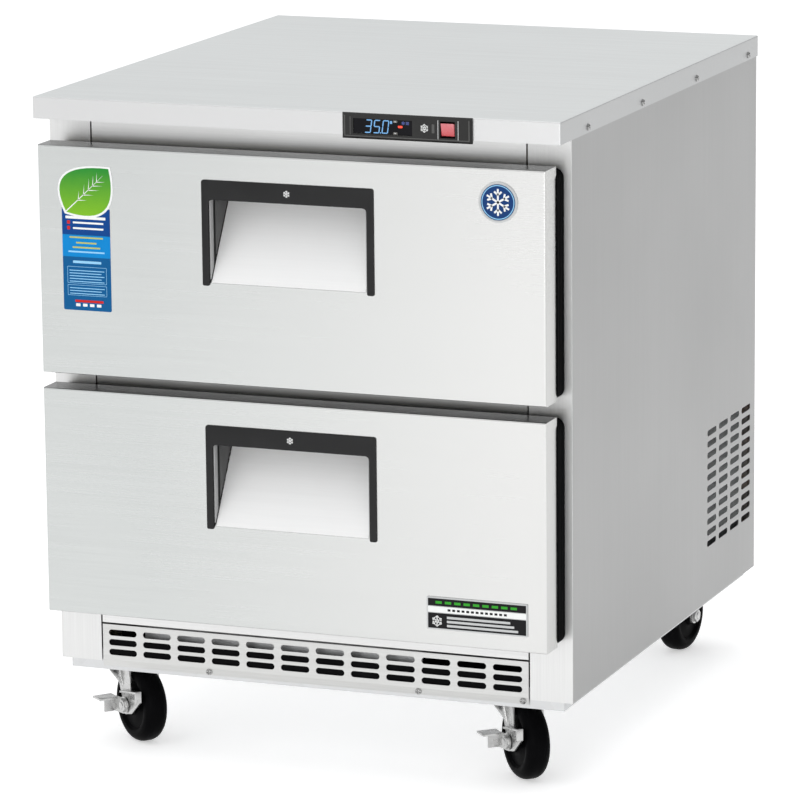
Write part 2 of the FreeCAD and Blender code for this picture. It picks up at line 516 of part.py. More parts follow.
def caster(name, braked, place):
    """Built with the wheel trailing towards -Y, then turned by its heading about the swivel axis."""
    leg_in, leg_out = WHEEL_WIDTH / 2 + 2.2, WHEEL_WIDTH / 2 + 5.2
    crown_z = 104.0
    axle_y, bore = -TRAIL, 6.05
    crown = cyl(26, (0, 0, crown_z), (0, 0, 1), 3).fuse(box(-leg_out, leg_out, -22, 22, crown_z, crown_z + 3))
    crown = crown.fuse(cyl(25, (0, 0, crown_z), (0, 0, 1), 9))
    outline = [(-23, crown_z + 2), (14, crown_z + 2), (8, 84), (axle_y + 11, WHEEL_R), (axle_y - 11, WHEEL_R),
               (-27, 84)]
    legs = []
    for s in (-1, 1):
        leg = prism_x(outline, *sorted((s * leg_in, s * leg_out)))
        leg = leg.fuse(cyl(11, (min(s * leg_in, s * leg_out), axle_y, WHEEL_R), (1, 0, 0), 3))
        # leading edge of the leg, folded outward; it flares below the base skirt, where there is room to swivel
        top, foot = V(s * leg_in, 11, crown_z + 2.9), V(s * leg_in, axle_y + 10, WHEEL_R + 20)
        outward = V(s, 0.3, 0).normalize()
        reach = [(0.0, 0.0), (0.0, 9.5), (0.26, 10.0), (0.29, 16.0), (0.42, 15.0), (0.92, 4.0), (1.0, 0.0)]
        fold = [top + (foot - top) * t + outward * w for t, w in reach]
        legs.append(leg.fuse(Part.Face(Part.makePolygon(fold + fold[:1])).extrude(V(0, -2.4, 0))))
    fork = crown.fuse(legs).cut(cyl(6.0, (0, 0, crown_z - 5), (0, 0, 1), 20))
    fork = fork.cut(cyl(6.0, (-40, axle_y, WHEEL_R), (1, 0, 0), 80)).removeSplitter()

    r, w = WHEEL_R, WHEEL_WIDTH / 2
    profile = [(bore, -w - 2), (13, -w - 2), (14, -w + 3), (31, -w + 4), (35, -w + 1), (r - 7, -w), (r - 2.5, -w + 4),
               (r, -w + 10), (r, w - 10), (r - 2.5, w - 4), (r - 7, w), (35, w - 1), (31, w - 4), (14, w - 3),
               (13, w + 2), (bore, w + 2)]
    wheel = turned(profile, (0, axle_y, WHEEL_R), (1, 0, 0))

    outer = leg_out + (3.4 if braked else 0.2)
    axle = cyl(6.0, (-outer, axle_y, WHEEL_R), (1, 0, 0), outer + leg_out + 0.2)
    hexagon = [(axle_y + 9 * math.cos(math.radians(60 * i)), WHEEL_R + 9 * math.sin(math.radians(60 * i)))
               for i in range(6)]
    axle = axle.fuse(prism_x(hexagon, -outer - 5, -outer)).fuse(prism_x(hexagon, leg_out, leg_out + 6))
    pieces = {"caster_fork_" + name: fork, "caster_wheel_" + name: wheel,
              "caster_axle_" + name: axle.removeSplitter()}
    if braked:
        pieces["brake_lever_" + name] = brake_lever(axle_y, leg_out)
    for node, shape in pieces.items():
        shape.rotate(V(0, 0, 0), V(0, 0, 1), HEADING[name])
        shape.translate(place)
        add(node, shape)


def brake_lever(axle_y, leg_out):
    """Side brake on the axle's end: a cam plate with raised lips behind the axle, and a pedal ahead of it."""
    x1 = -leg_out - 0.4
    x0 = x1 - 2.5
    lip, z = 6.0, WHEEL_R
    plate = cyl(12, (x0, axle_y, z), (1, 0, 0), 2.5)
    cam = [(axle_y + 4, z + 19), (axle_y - 42, z + 27), (axle_y - 42, z + 12), (axle_y - 18, z - 8), (axle_y, z - 12)]
    upper_lip = [(axle_y + 4, z + 19), (axle_y - 42, z + 27), (axle_y - 42, z + 24.5), (axle_y + 4, z + 16.5)]
    rear_lip = [(axle_y - 42, z + 27), (axle_y - 42, z + 12), (axle_y - 39.5, z + 12), (axle_y - 39.5, z + 26)]
    arm = [(axle_y, z + 9), (axle_y + 34, z + 5), (axle_y + 34, z - 15), (axle_y + 6, z - 13)]
    pieces = [prism_x(cam, x0, x1), prism_x(upper_lip, x0 - lip, x1), prism_x(rear_lip, x0 - lip, x1),
              prism_x(arm, x0, x1), box(x0 - 14, x1, axle_y + 31.5, axle_y + 34, z - 15, z + 5),
              box(x0 - 24, x1, axle_y + 24, axle_y + 46, z + 2.5, z + 5)]
    lever = plate.fuse(pieces).cut(cyl(6.06, (-60, axle_y, z), (1, 0, 0), 120))
    return lever.removeSplitter()


def caster_plates():
    plates = []
    for name, braked, place in caster_places():
        plate = box(-46, 46, -34, 34, BASE_TOP - 3, BASE_TOP)
        plate = plate.fuse(cyl(24, (0, 0, 113.4), (0, 0, 1), BASE_TOP - 3 - 113.4))
        plate = plate.fuse(cyl(5.95, (0, 0, 101.5), (0, 0, 1), 15))
        plate.translate(place)
        plates.append(plate.removeSplitter())
    add("caster_plates", group(plates))


worktop()
control_panel()
side_panels()
front_frame()
insulation()
inner_liner()
base_frame()
kick_grille()
back_panels()
fasteners()
refrigeration()
slides()
for level in (0, 1):
    drawer(level)
caster_plates()
for name, braked, place in caster_places():
    caster(name, braked, place)

os.makedirs("parts", exist_ok=True)
for node, shape in parts.items():
    if not shape.isValid():
        print("not valid:", node)
    shape.exportStep("parts/" + node + ".step")
print(len(parts), "sub-parts")
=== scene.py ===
import math

import bmesh
import bpy
from mathutils import Matrix, Vector


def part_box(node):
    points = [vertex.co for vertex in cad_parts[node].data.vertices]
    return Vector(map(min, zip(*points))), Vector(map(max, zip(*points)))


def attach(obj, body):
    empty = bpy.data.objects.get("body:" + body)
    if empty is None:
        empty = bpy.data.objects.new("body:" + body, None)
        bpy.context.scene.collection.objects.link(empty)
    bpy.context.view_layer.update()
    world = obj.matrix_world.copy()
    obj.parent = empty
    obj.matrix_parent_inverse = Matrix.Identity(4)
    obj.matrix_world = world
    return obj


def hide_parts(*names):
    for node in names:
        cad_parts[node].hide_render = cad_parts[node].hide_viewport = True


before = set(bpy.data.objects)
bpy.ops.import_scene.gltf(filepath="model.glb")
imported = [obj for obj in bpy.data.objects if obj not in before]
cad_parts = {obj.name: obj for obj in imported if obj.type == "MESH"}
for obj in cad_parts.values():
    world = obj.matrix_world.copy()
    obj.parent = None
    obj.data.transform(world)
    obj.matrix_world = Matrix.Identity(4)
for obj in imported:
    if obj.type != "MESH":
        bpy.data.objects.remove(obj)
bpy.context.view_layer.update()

mm = 0.001
print("frame loaded:", len(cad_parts), "nodes")


def linked(name, data):  # an object put into the scene
    made = bpy.data.objects.new(name, data)
    bpy.context.scene.collection.objects.link(made)
    return made


# camera: stands to the right of the front, a little above the worktop
viewPoint = {"place": (2.3605, -6.0917, 1.7885), "turn": 21.314, "pitch": 11.98, "roll": -0.564,
             "lens": 226.79}


def makeCamera(spec):
    turn, pitch, roll = (math.radians(spec[key]) for key in ("turn", "pitch", "roll"))
    ahead = Vector((-math.sin(turn) * math.cos(pitch), math.cos(turn) * math.cos(pitch), -math.sin(pitch)))
    right = Vector((math.cos(turn), math.sin(turn), 0))
    up = right.cross(ahead)
    across = right * math.cos(roll) + up * math.sin(roll)
    upward = up * math.cos(roll) - right * math.sin(roll)
    lens = bpy.data.cameras.new("camera")
    lens.lens, lens.sensor_width, lens.clip_end = spec["lens"], 36, 60
    camera = linked("camera", lens)
    axes = Matrix((across, upward, -ahead)).transposed().to_4x4()
    camera.matrix_world = Matrix.Translation(spec["place"]) @ axes
    bpy.context.scene.camera = camera


makeCamera(viewPoint)


# node helpers
class Wire:  # one output socket, with arithmetic on it
    def __init__(self, graph, socket):
        self.graph, self.socket = graph, socket

    def sum(self, operation, first, second):
        return self.graph.node("ShaderNodeMath", {0: first, 1: second}, operation=operation)

    def __add__(self, other):
        return self.sum("ADD", self, other)

    def __sub__(self, other):
        return self.sum("SUBTRACT", self, other)

    def __mul__(self, other):
        return self.sum("MULTIPLY", self, other)

    __radd__, __rmul__ = __add__, __mul__


class Graph:  # a node tree, built one node at a time; a short kind gets its family in front
    def __init__(self, tree, family="ShaderNode"):
        self.tree, self.family = tree, family
        tree.nodes.clear()

    def node(self, kind, inputs=None, output=0, **settings):
        made = self.tree.nodes.new(kind if "Node" in kind else self.family + kind)
        for name, value in settings.items():
            setattr(made, name, value)
        for key, value in (inputs or {}).items():
            if isinstance(value, Wire):
                self.tree.links.new(value.socket, made.inputs[key])
            elif value is not None:
                made.inputs[key].default_value = value
        return Wire(self, made.outputs[output]) if made.outputs else None

    def place(self, stretch=(1, 1, 1), shift=(0, 0, 0)):
        here = self.node("TexCoord", output="Object")
        return self.node("Mapping", {"Vector": here, "Location": shift, "Scale": stretch})

    def noise(self, scale, detail, stretch=(1, 1, 1), rough=0.5, shift=(0, 0, 0)):
        return self.node("TexNoise", {"Vector": self.place(stretch, shift), "Scale": scale,
                                      "Detail": detail, "Roughness": rough})

    def cells(self, scale, output="Distance"):
        return self.node("TexVoronoi", {"Vector": self.place(), "Scale": scale}, output)

    def ramp(self, wire, low, high):
        return self.node("MapRange", {"Value": wire, "From Min": low, "From Max": high}, clamp=True)

    def mix(self, factor, first, second):
        first, second = ((*value, 1) if isinstance(value, tuple) else value for value in (first, second))
        return self.node("Mix", {0: factor, 6: first, 7: second}, 2, data_type="RGBA")

    def bump(self, height, distance, strength=1.0):
        return self.node("Bump", {"Height": height, "Distance": distance, "Strength": strength})


def scaled(colour, factor):
    return tuple(min(channel * factor, 1) for channel in colour)


def finish(name, recipe, **fixed):  # recipe gives what varies; fixed values go straight on the shader
    material = bpy.data.materials.new(name)
    material.use_nodes = True
    graph = Graph(material.node_tree)
    inputs = {key.replace("_", " "): value for key, value in fixed.items()}
    inputs.update(recipe(graph))
    for key, value in inputs.items():
        if isinstance(value, tuple) and len(value) == 3 and key.endswith("Color"):
            inputs[key] = (*value, 1)
    shader = graph.node("BsdfPrincipled", inputs)
    graph.node("OutputMaterial", {"Surface": shader})
    return material


# finishes
def brushed(name, tone, grain, rough=0.34, contrast=0.07, metal=1.0, painted_light_gradient=None, painted_shade_by_facing=None):
    def recipe(g):
        fine = g.noise(1.0, 3.0, grain, 0.65)
        coarse = g.noise(1.0, 2.0, tuple(value * 0.25 for value in grain))
        smudge = g.noise(3.1, 3.0, shift=(0.3, 0.1, 0.7))
        streak = fine * 0.6 + coarse * 0.4
        colour = g.mix(g.ramp(streak, 0.3, 0.7), scaled(tone, 1 - contrast), scaled(tone, 1 + contrast))
        colour = g.mix(g.ramp(smudge, 0.35, 0.75) * 0.25, colour, scaled(tone, 0.93))
        # painted light: the colour lightens along one axis, standing in for a brighter reflection towards
        # that end
        if painted_light_gradient:
            across = g.node("SeparateXYZ", {"Vector": g.place()}, painted_light_gradient["axis"])
            colour = g.mix(g.ramp(across, *painted_light_gradient["span"]) * painted_light_gradient["amount"], colour, painted_light_gradient["tone"])
        for axis, shade in (painted_shade_by_facing or {}).items():  # painted shade: faces that look along this axis get a darker tone, standing in for how light falls on them
            facing = g.node("NewGeometry", output="True Normal")
            facing = g.node("SeparateXYZ", {"Vector": facing}, axis)
            colour = g.mix(g.ramp(facing * facing, 0.4, 0.9), colour, shade)
        return {"Base Color": colour, "Roughness": rough + (smudge - 0.5) * 0.10 + (streak - 0.5) * 0.10,
                "Normal": g.bump(streak, 0.00002, 0.5)}
    return finish(name, recipe, Metallic=metal)


def plated(name, tone, rough=0.32, cell=60, contrast=0.12):
    def recipe(g):
        spangle = g.cells(cell, output="Color")
        patch = g.node("SeparateColor", {"Color": spangle})
        cloud = g.noise(45.0, 3.0)
        colour = g.mix(patch * 0.6 + cloud * 0.4, scaled(tone, 1 - contrast), scaled(tone, 1 + contrast))
        return {"Base Color": colour, "Roughness": rough + patch * 0.12 + cloud * 0.08,
                "Normal": g.bump(cloud, 0.00004, 0.4)}
    return finish(name, recipe, Metallic=1.0)


def moulded(name, colour, rough=0.45, grain=1500, depth=0.00003, dust=0.06, shine=0.5):
    def recipe(g):
        texture = g.noise(grain, 2.0)
        cloud = g.noise(22.0, 4.0)
        tone = g.mix(g.ramp(cloud, 0.3, 0.75), scaled(colour, 0.9), scaled(colour, 1.08))
        tone = g.mix(g.ramp(cloud, 0.55, 0.9) * dust, tone, (0.5, 0.5, 0.49))
        return {"Base Color": tone, "Roughness": rough + (cloud - 0.5) * 0.14 + (texture - 0.5) * 0.06,
                "Normal": g.bump(texture, depth, 0.5)}
    return finish(name, recipe, Specular_IOR_Level=shine)


def lit(name, colour, strength):
    def recipe(g):
        flicker = g.noise(400.0, 1.0)
        glow = g.mix(g.ramp(flicker, 0.3, 0.7), scaled(colour, 0.85), colour)
        return {"Emission Color": glow, "Base Color": glow}
    return finish(name, recipe, Roughness=0.4, Emission_Strength=strength)


def ink(name, colour):
    def recipe(g):
        wash = g.noise(90.0, 3.0)
        dots = g.noise(2600.0, 1.0)
        tone = g.mix(wash * 0.6 + dots * 0.4, scaled(colour, 0.9), scaled(colour, 1.1))
        return {"Base Color": tone, "Roughness": 0.3 + wash * 0.1, "Normal": g.bump(wash, 0.00003, 0.3)}
    return finish(name, recipe, Specular_IOR_Level=0.12)


def redLens(g):  # a lamp glows low down behind the rocker's tinted plastic
    spot = g.node("SeparateXYZ", {"Vector": g.place()}, "Z")
    cloud = g.noise(160.0, 2.0)
    deep = g.ramp(spot, 0.841, 0.827) * 0.7 + cloud * 0.3
    colour = g.mix(deep, (0.58, 0.17, 0.19), (0.52, 0.04, 0.05))
    return {"Base Color": colour, "Emission Color": colour, "Roughness": 0.22 + cloud * 0.1}


def foamed(g):
    bubbles = g.cells(700)
    cloud = g.noise(12.0, 3.0)
    return {"Base Color": g.mix(bubbles * 0.5 + cloud * 0.5, (0.72, 0.60, 0.36), (0.86, 0.77, 0.55)),
            "Normal": g.bump(bubbles, 0.0003, 0.6)}


def tarnished(g):
    cloud = g.noise(60.0, 4.0)
    return {"Base Color": g.mix(g.ramp(cloud, 0.35, 0.75), (0.78, 0.36, 0.20), (0.45, 0.20, 0.11)),
            "Roughness": 0.25 + cloud * 0.25}


alongX, alongY, alongZ = (9, 700, 700), (700, 9, 700), (700, 700, 9)
# painted light and shade: the drawer faces lighten towards +X, and their side, top and bottom flanges are
# toned darker
faceSteel = brushed("drawer face steel", (0.555, 0.570, 0.562), alongX, 0.26, 0.045,
                    painted_light_gradient={"axis": "X", "span": (-0.2, 0.3), "amount": 0.9, "tone": (0.67, 0.667, 0.657)},
                    painted_shade_by_facing={"X": (0.53, 0.53, 0.52), "Z": (0.21, 0.21, 0.21)})
# painted shade: the worktop's side and front skirts are toned darker
topSteel = brushed("worktop steel", (0.80, 0.82, 0.815), alongX, 0.36,
                   painted_shade_by_facing={"X": (0.46, 0.465, 0.465), "Y": (0.64, 0.64, 0.64)})
# painted shade: the side panels' steel is toned far darker than the front's, standing in for the shade on the
# sides
shadedSideSteel = brushed("side sheet steel with painted shade", (0.372, 0.372, 0.37), alongZ, 0.40, 0.05)
frameSteel = brushed("front frame steel", (0.69, 0.69, 0.685), alongX, 0.31)
stileSteel = brushed("stile steel", (0.70, 0.70, 0.695), alongZ, 0.40, 0.05)
# painted light: a pale, non-metal finish that keeps the hand recess bright
recessPaintedLight = brushed("hand recess painted light", (0.95, 0.95, 0.945), alongX, 0.5, 0.02, metal=0.0)
grilleSteel = brushed("grille steel", (0.60, 0.60, 0.59), alongX, 0.34)
traySteel = brushed("pan frame steel", (0.80, 0.81, 0.80), alongY, 0.36)
galvanised = plated("galvanised sheet", (0.64, 0.645, 0.65), 0.36, 55, 0.07)
zinc = plated("zinc plating", (0.56, 0.56, 0.555), 0.2, 240, 0.16)
slideZinc = plated("slide zinc", (0.66, 0.67, 0.69), 0.24, 320, 0.08)
screwSteel = brushed("screw steel", (0.42, 0.42, 0.415), (900, 900, 900), 0.26)
finStock = brushed("fin aluminium", (0.78, 0.79, 0.80), (900, 900, 40), 0.4)
handlePlastic = moulded("handle plastic", (0.013, 0.013, 0.0135), 0.42, 1800, 0.00003, 0.01, shine=0.22)
# painted highlight and shade: grey copies of the black handle plastic for the cheeks' lands
darkCheek = moulded("handle cheek shade", (0.085, 0.085, 0.085), 0.4, 1800, 0.00002, 0.02)
cheekPaintedHighlight = moulded("handle cheek painted highlight", (0.42, 0.42, 0.42), 0.34, 1800, 0.00002, 0.02)
gasketRubber = moulded("gasket vinyl", (0.004, 0.004, 0.0045), 0.7, 900, 0.00002, 0.006, shine=0.03)
wheelRubber = moulded("wheel rubber", (0.003, 0.003, 0.0034), 0.38, 700, 0.00004, 0.002, shine=0.015)
linerPlastic = moulded("liner plastic", (0.80, 0.81, 0.81), 0.38, 900, 0.00003, 0.0)
housingPlastic = moulded("evaporator housing", (0.70, 0.71, 0.71), 0.4, 900, 0.00003, 0.0)
fanPlastic = moulded("fan plastic", (0.03, 0.03, 0.032), 0.4, 1200, 0.00003, 0.02, shine=0.25)
blackEnamel = moulded("black enamel", (0.010, 0.010, 0.011), 0.3, 500, 0.00008, 0.02, shine=0.3)
glandPlastic = moulded("gland plastic", (0.016, 0.016, 0.016), 0.5, 1500, 0.00004, 0.02, shine=0.25)
bezelPlastic = moulded("bezel plastic", (0.020, 0.020, 0.0195), 0.3, 2200, 0.00002, 0.01, shine=0.25)
bezelTrim = moulded("bezel trim", (0.085, 0.085, 0.082), 0.3, 2200, 0.00002, 0.01, shine=0.3)
displayBlack = moulded("display window", (0.004, 0.004, 0.006), 0.12, 400, 0.000005, 0.004, shine=0.12)
keyPlastic = moulded("key plastic", (0.09, 0.085, 0.075), 0.4, 2000, 0.00002, 0.02)
rockerRed = finish("rocker red", redLens, Emission_Strength=0.12, Coat_Weight=0.3)
foam = finish("cabinet foam", foamed, Roughness=0.9)
copper = finish("copper pipe", tarnished, Metallic=1.0)
digitBlue = lit("digit blue", (0.13, 0.33, 0.60), 0.46)
lampRed = lit("lamp red", (0.80, 0.05, 0.02), 0.8)
iconBlue = lit("icon blue", (0.05, 0.07, 0.22), 0.8)


def leafGreen(g):
    upward = g.node("SeparateXYZ", {"Vector": g.place()}, "Z")
    wash = g.noise(90.0, 3.0)
    tone = g.mix(g.ramp(upward, 0.70, 0.765) * 0.9 + wash * 0.1, (0.24, 0.52, 0.02), (0.010, 0.24, 0.035))
    return {"Base Color": tone, "Roughness": 0.4 + wash * 0.1, "Specular IOR Level": 0.12}


inks = {"white": ink("white ink", (0.86, 0.87, 0.86)), "silver": ink("silver ink", (0.55, 0.56, 0.56)),
        "black": ink("black ink", (0.010, 0.010, 0.011)), "green": ink("signal green", (0.04, 0.36, 0.03)),
        "leaf": finish("leaf green", leafGreen),
        "blue": ink("label blue", (0.002, 0.055, 0.25)),
        "azure": ink("azure", (0.001, 0.23, 0.60)), "midBlue": ink("mid blue", (0.002, 0.10, 0.28)),
        "yellow": ink("pale yellow", (0.50, 0.52, 0.16)), "navy": ink("badge blue", (0.008, 0.045, 0.17)),
        "red": ink("red ink", (0.62, 0.02, 0.015)), "paleBlue": ink("pale blue", (0.30, 0.62, 0.88))}

nodeFinishes = {
    topSteel: ["worktop"], faceSteel: ["upper_front", "lower_front"],
    shadedSideSteel: ["side_panel_left", "side_panel_right"],
    frameSteel: ["frame_sill", "frame_rail_middle", "frame_rail_top"],
    stileSteel: ["frame_stile_left", "frame_stile_right"],
    grilleSteel: ["kick_grille"],
    galvanised: ["worktop_underside", "base_frame", "back_panel", "machine_cover", "condenser_shroud"],
    bezelPlastic: ["control_bezel"], displayBlack: ["controller_module"], keyPlastic: ["key_down", "key_up"],
    rockerRed: ["rocker_switch"], foam: ["insulation", "upper_core", "lower_core"],
    linerPlastic: ["inner_liner", "upper_inner_panel", "lower_inner_panel"],
    housingPlastic: ["evaporator_housing"], fanPlastic: ["condenser_fan", "evaporator_fan"],
    blackEnamel: ["compressor"], copper: ["refrigerant_lines"], glandPlastic: ["power_inlet"],
    slideZinc: ["slide_racks", "upper_slide_members", "lower_slide_members"],
    traySteel: ["upper_pan_frame", "lower_pan_frame"],
    zinc: ["caster_plates"] + [f"caster_{part}_{end}_{side}" for part in ("fork", "axle")
                               for end in ("front", "back") for side in ("left", "right")]
    + ["brake_lever_front_left", "brake_lever_front_right"],
}
for material, nodes in nodeFinishes.items():
    for node in nodes:
        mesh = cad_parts[node].data
        mesh.materials.clear()
        mesh.materials.append(material)
print("finishes made:", len(bpy.data.materials))


# geometry helpers, in millimetres
def arc(centre, radius, start, end, steps):
    turns = (math.radians(start + (end - start) * i / steps) for i in range(steps + 1))
    return [(centre[0] + radius * math.cos(t), centre[1] + radius * math.sin(t)) for t in turns]


def rounded(corners, radii, steps=5):  # a closed outline whose corners are arcs of the given radii
    outline = []
    radii = radii if isinstance(radii, (list, tuple)) else [radii] * len(corners)
    for i, (corner, radius) in enumerate(zip(corners, radii)):
        here = Vector(corner)
        before = (Vector(corners[i - 1]) - here).normalized()
        after = (Vector(corners[(i + 1) % len(corners)]) - here).normalized()
        half = before.angle(after) / 2
        if radius <= 0 or half > 1.56:
            outline.append(tuple(here))
            continue
        reach = radius / math.tan(half)
        hub = here + (before + after).normalized() * (radius / math.sin(half))
        first, last = here + before * reach - hub, here + after * reach - hub
        turn = first.angle_signed(last)
        for k in range(steps + 1):
            swing = Matrix.Rotation(-turn * k / steps, 2)
            outline.append(tuple(hub + swing @ first))
    return outline


def rectangle(x0, x1, z0, z1, radius=0.0, steps=5):
    corners = [(x0, z0), (x1, z0), (x1, z1), (x0, z1)]
    return rounded(corners, radius, steps) if radius else corners


class Shape:  # gathers solids in millimetres, then becomes one piece in metres
    def __init__(self):
        self.bm, self.finishes = bmesh.new(), []

    def add(self, points, faces, material, bevel=0.0, steps=2, angle=25):
        part = bmesh.new()
        corners = [part.verts.new(point) for point in points]
        for face in faces:
            part.faces.new([corners[i] for i in face])
        bmesh.ops.remove_doubles(part, verts=part.verts, dist=1e-4)
        bmesh.ops.recalc_face_normals(part, faces=part.faces)
        if bevel:
            sharp = [e for e in part.edges if e.is_manifold and e.calc_face_angle() > math.radians(angle)]
            bmesh.ops.bevel(part, geom=sharp, offset=bevel, segments=steps, profile=0.5, affect="EDGES",
                            clamp_overlap=True)
        if material not in self.finishes:
            self.finishes.append(material)
        for face in part.faces:
            face.material_index = self.finishes.index(material)
        block = bpy.data.meshes.new("block")
        part.to_mesh(block)
        part.free()
        self.bm.from_mesh(block)
        bpy.data.meshes.remove(block)
        return self

    def prism(self, outline, axis, low, high, material, bevel=0.0, steps=2, angle=25):
        def at(pair, along):
            a, b = pair
            return {"x": (along, a, b), "y": (a, along, b), "z": (a, b, along)}[axis]
        count = len(outline)
        points = [at(pair, low) for pair in outline] + [at(pair, high) for pair in outline]
        faces = [tuple(range(count)), tuple(range(count, 2 * count))]
        faces += [(i, (i + 1) % count, count + (i + 1) % count, count + i) for i in range(count)]
        return self.add(points, faces, material, bevel, steps, angle)

    def block(self, low, high, material, bevel=0.4, steps=2):
        outline = rectangle(low[0], high[0], low[2], high[2])
        return self.prism(outline, "y", low[1], high[1], material, bevel, steps)

    def turned(self, profile, centre, direction, material, steps=48):  # a closed (radius, height) profile
        turn = Vector((0, 0, 1)).rotation_difference(Vector(direction)).to_matrix()
        count, points, faces = len(profile), [], []
        for s in range(steps):
            a = 2 * math.pi * s / steps
            points += [Vector(centre) + turn @ Vector((r * math.cos(a), r * math.sin(a), h))
                       for r, h in profile]
        for s in range(steps):
            t = (s + 1) % steps
            for i in range(count):
                j = (i + 1) % count
                ring = [s * count + i, t * count + i, t * count + j, s * count + j]
                if profile[i][0] < 1e-6 and profile[j][0] < 1e-6:
                    continue
                if profile[i][0] < 1e-6:
                    ring = [ring[0], ring[2], ring[3]]
                elif profile[j][0] < 1e-6:
                    ring = ring[:3]
                faces.append(tuple(ring))
        return self.addMerged(points, faces, material)

    def addMerged(self, points, faces, material):  # points that fall together at a pole become one
        seen, order, kept = {}, [], []
        for point in points:
            key = tuple(round(value, 4) for value in point)
            if key not in seen:
                seen[key] = len(kept)
                kept.append(point)
            order.append(seen[key])
        clean = []
        for face in faces:
            loop = [order[i] for i in face]
            loop = [v for k, v in enumerate(loop) if v != loop[k - 1]]
            if len(set(loop)) > 2:
                clean.append(tuple(loop))
        return self.add(kept, clean, material)

    def tube(self, path, radius, material, steps=12):
        points, faces, count = [], [], len(path)
        line = [Vector(p) for p in path]
        normal = None
        for i, here in enumerate(line):
            along = (line[min(i + 1, count - 1)] - line[max(i - 1, 0)]).normalized()
            if normal is None:
                normal = along.orthogonal().normalized()
            normal = (normal - along * normal.dot(along)).normalized()
            side = along.cross(normal)
            for s in range(steps):
                a = 2 * math.pi * s / steps
                points.append(here + (normal * math.cos(a) + side * math.sin(a)) * radius)
        for i in range(count - 1):
            j = i + 1
            faces += [(i * steps + s, i * steps + (s + 1) % steps, j * steps + (s + 1) % steps, j * steps + s)
                      for s in range(steps)]
        faces += [tuple(range(steps)), tuple(range((count - 1) * steps, count * steps))]
        return self.add(points, faces, material)

    def place(self, heading, spot):  # turned by heading about the vertical, then moved
        move = Matrix.Translation(spot) @ Matrix.Rotation(math.radians(heading), 4, "Z")
        bmesh.ops.transform(self.bm, matrix=move, verts=self.bm.verts)
        return self

    def mesh(self, name):  # in metres; it uses the shape up
        bmesh.ops.scale(self.bm, vec=(mm, mm, mm), verts=self.bm.verts)
        made = bpy.data.meshes.new(name)
        self.bm.to_mesh(made)
        self.bm.free()
        return made

    def piece(self, name, body, slot, replaced=()):
        mesh = self.mesh(name)
        for material in self.finishes:
            mesh.materials.append(material)
        return settle(name, mesh, body, replaced)


def settle(name, mesh, body, replaced=(), angle=32):
    mesh.shade_smooth()
    mesh.set_sharp_from_angle(angle=math.radians(angle))
    piece = linked(name, mesh)
    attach(piece, body)
    if replaced:
        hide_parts(*replaced)
    return piece


def softened(name, node, body, material, bevel):  # the node's own solid, its edges eased
    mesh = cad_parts[node].data.copy()
    bm = bmesh.new()
    bm.from_mesh(mesh)
    bmesh.ops.remove_doubles(bm, verts=bm.verts, dist=1e-6)
    bmesh.ops.dissolve_limit(bm, angle_limit=math.radians(1.0), verts=bm.verts, edges=bm.edges)
    sharp = [e for e in bm.edges if e.is_manifold and e.calc_face_angle() > math.radians(30)]
    bmesh.ops.bevel(bm, geom=sharp, offset=bevel * mm, segments=2, profile=0.5, affect="EDGES",
                    clamp_overlap=True)
    bm.to_mesh(mesh)
    bm.free()
    mesh.materials.clear()
    mesh.materials.append(material)
    return settle(name, mesh, body, (node,))


def corners(node):  # a node's lowest and highest corner in millimetres
    return [[value / mm for value in corner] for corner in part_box(node)]


# geometry node helpers
class Rig:  # a geometry node tree with named inputs, run once on a seed mesh
    def __init__(self, name, sizes):
        self.tree = bpy.data.node_groups.new(name, "GeometryNodeTree")
        self.graph = Graph(self.tree, "GeometryNode")
        face = self.tree.interface
        face.new_socket("Geometry", in_out="INPUT", socket_type="NodeSocketGeometry")
        self.identifiers = {}
        for label, value in sizes.items():
            kind = ("NodeSocketObject" if isinstance(value, bpy.types.Object) else "NodeSocketInt"
                    if isinstance(value, int) else "NodeSocketVector" if isinstance(value, tuple)
                    else "NodeSocketFloat")
            self.identifiers[label] = face.new_socket(label, in_out="INPUT", socket_type=kind).identifier
        face.new_socket("Geometry", in_out="OUTPUT", socket_type="NodeSocketGeometry")
        self.sizes = sizes
        source = self.tree.nodes.new("NodeGroupInput")
        self.inputs = {socket.name: Wire(self.graph, socket) for socket in source.outputs if socket.name}

    def node(self, kind, inputs=None, output=0, **settings):
        return self.graph.node(kind, inputs, output, **settings)

    def form(self, label):  # the mesh of an object given as an input
        return self.node("ObjectInfo", {"Object": self.inputs[label]}, "Geometry", transform_space="ORIGINAL")

    def end(self, geometry, material):
        real = self.node("RealizeInstances", {"Geometry": geometry})
        painted = self.node("SetMaterial", {"Geometry": real, "Material": material})
        self.node("NodeGroupOutput", {"Geometry": painted})

    def run(self, seed, name, body, replaced=(), angle=32):
        holder = linked(name + "_seed", seed)
        modifier = holder.modifiers.new("rig", "NODES")
        modifier.node_group = self.tree
        for label, value in self.sizes.items():
            modifier[self.identifiers[label]] = value
        bpy.context.view_layer.update()
        seen = holder.evaluated_get(bpy.context.evaluated_depsgraph_get())
        mesh = bpy.data.meshes.new_from_object(seen)
        mesh.name = name
        holder.modifiers.clear()
        bpy.data.objects.remove(holder)
        return settle(name, mesh, body, replaced, angle)


def pointCloud(places, facings=None):  # seed vertices, each with the way its copy faces
    mesh = bpy.data.meshes.new("places")
    mesh.from_pydata([tuple(value * mm for value in place) for place in places], [], [])
    if facings:
        store = mesh.attributes.new("facing", "FLOAT_VECTOR", "POINT")
        for entry, facing in zip(store.data, facings):
            entry.vector = facing
    return mesh


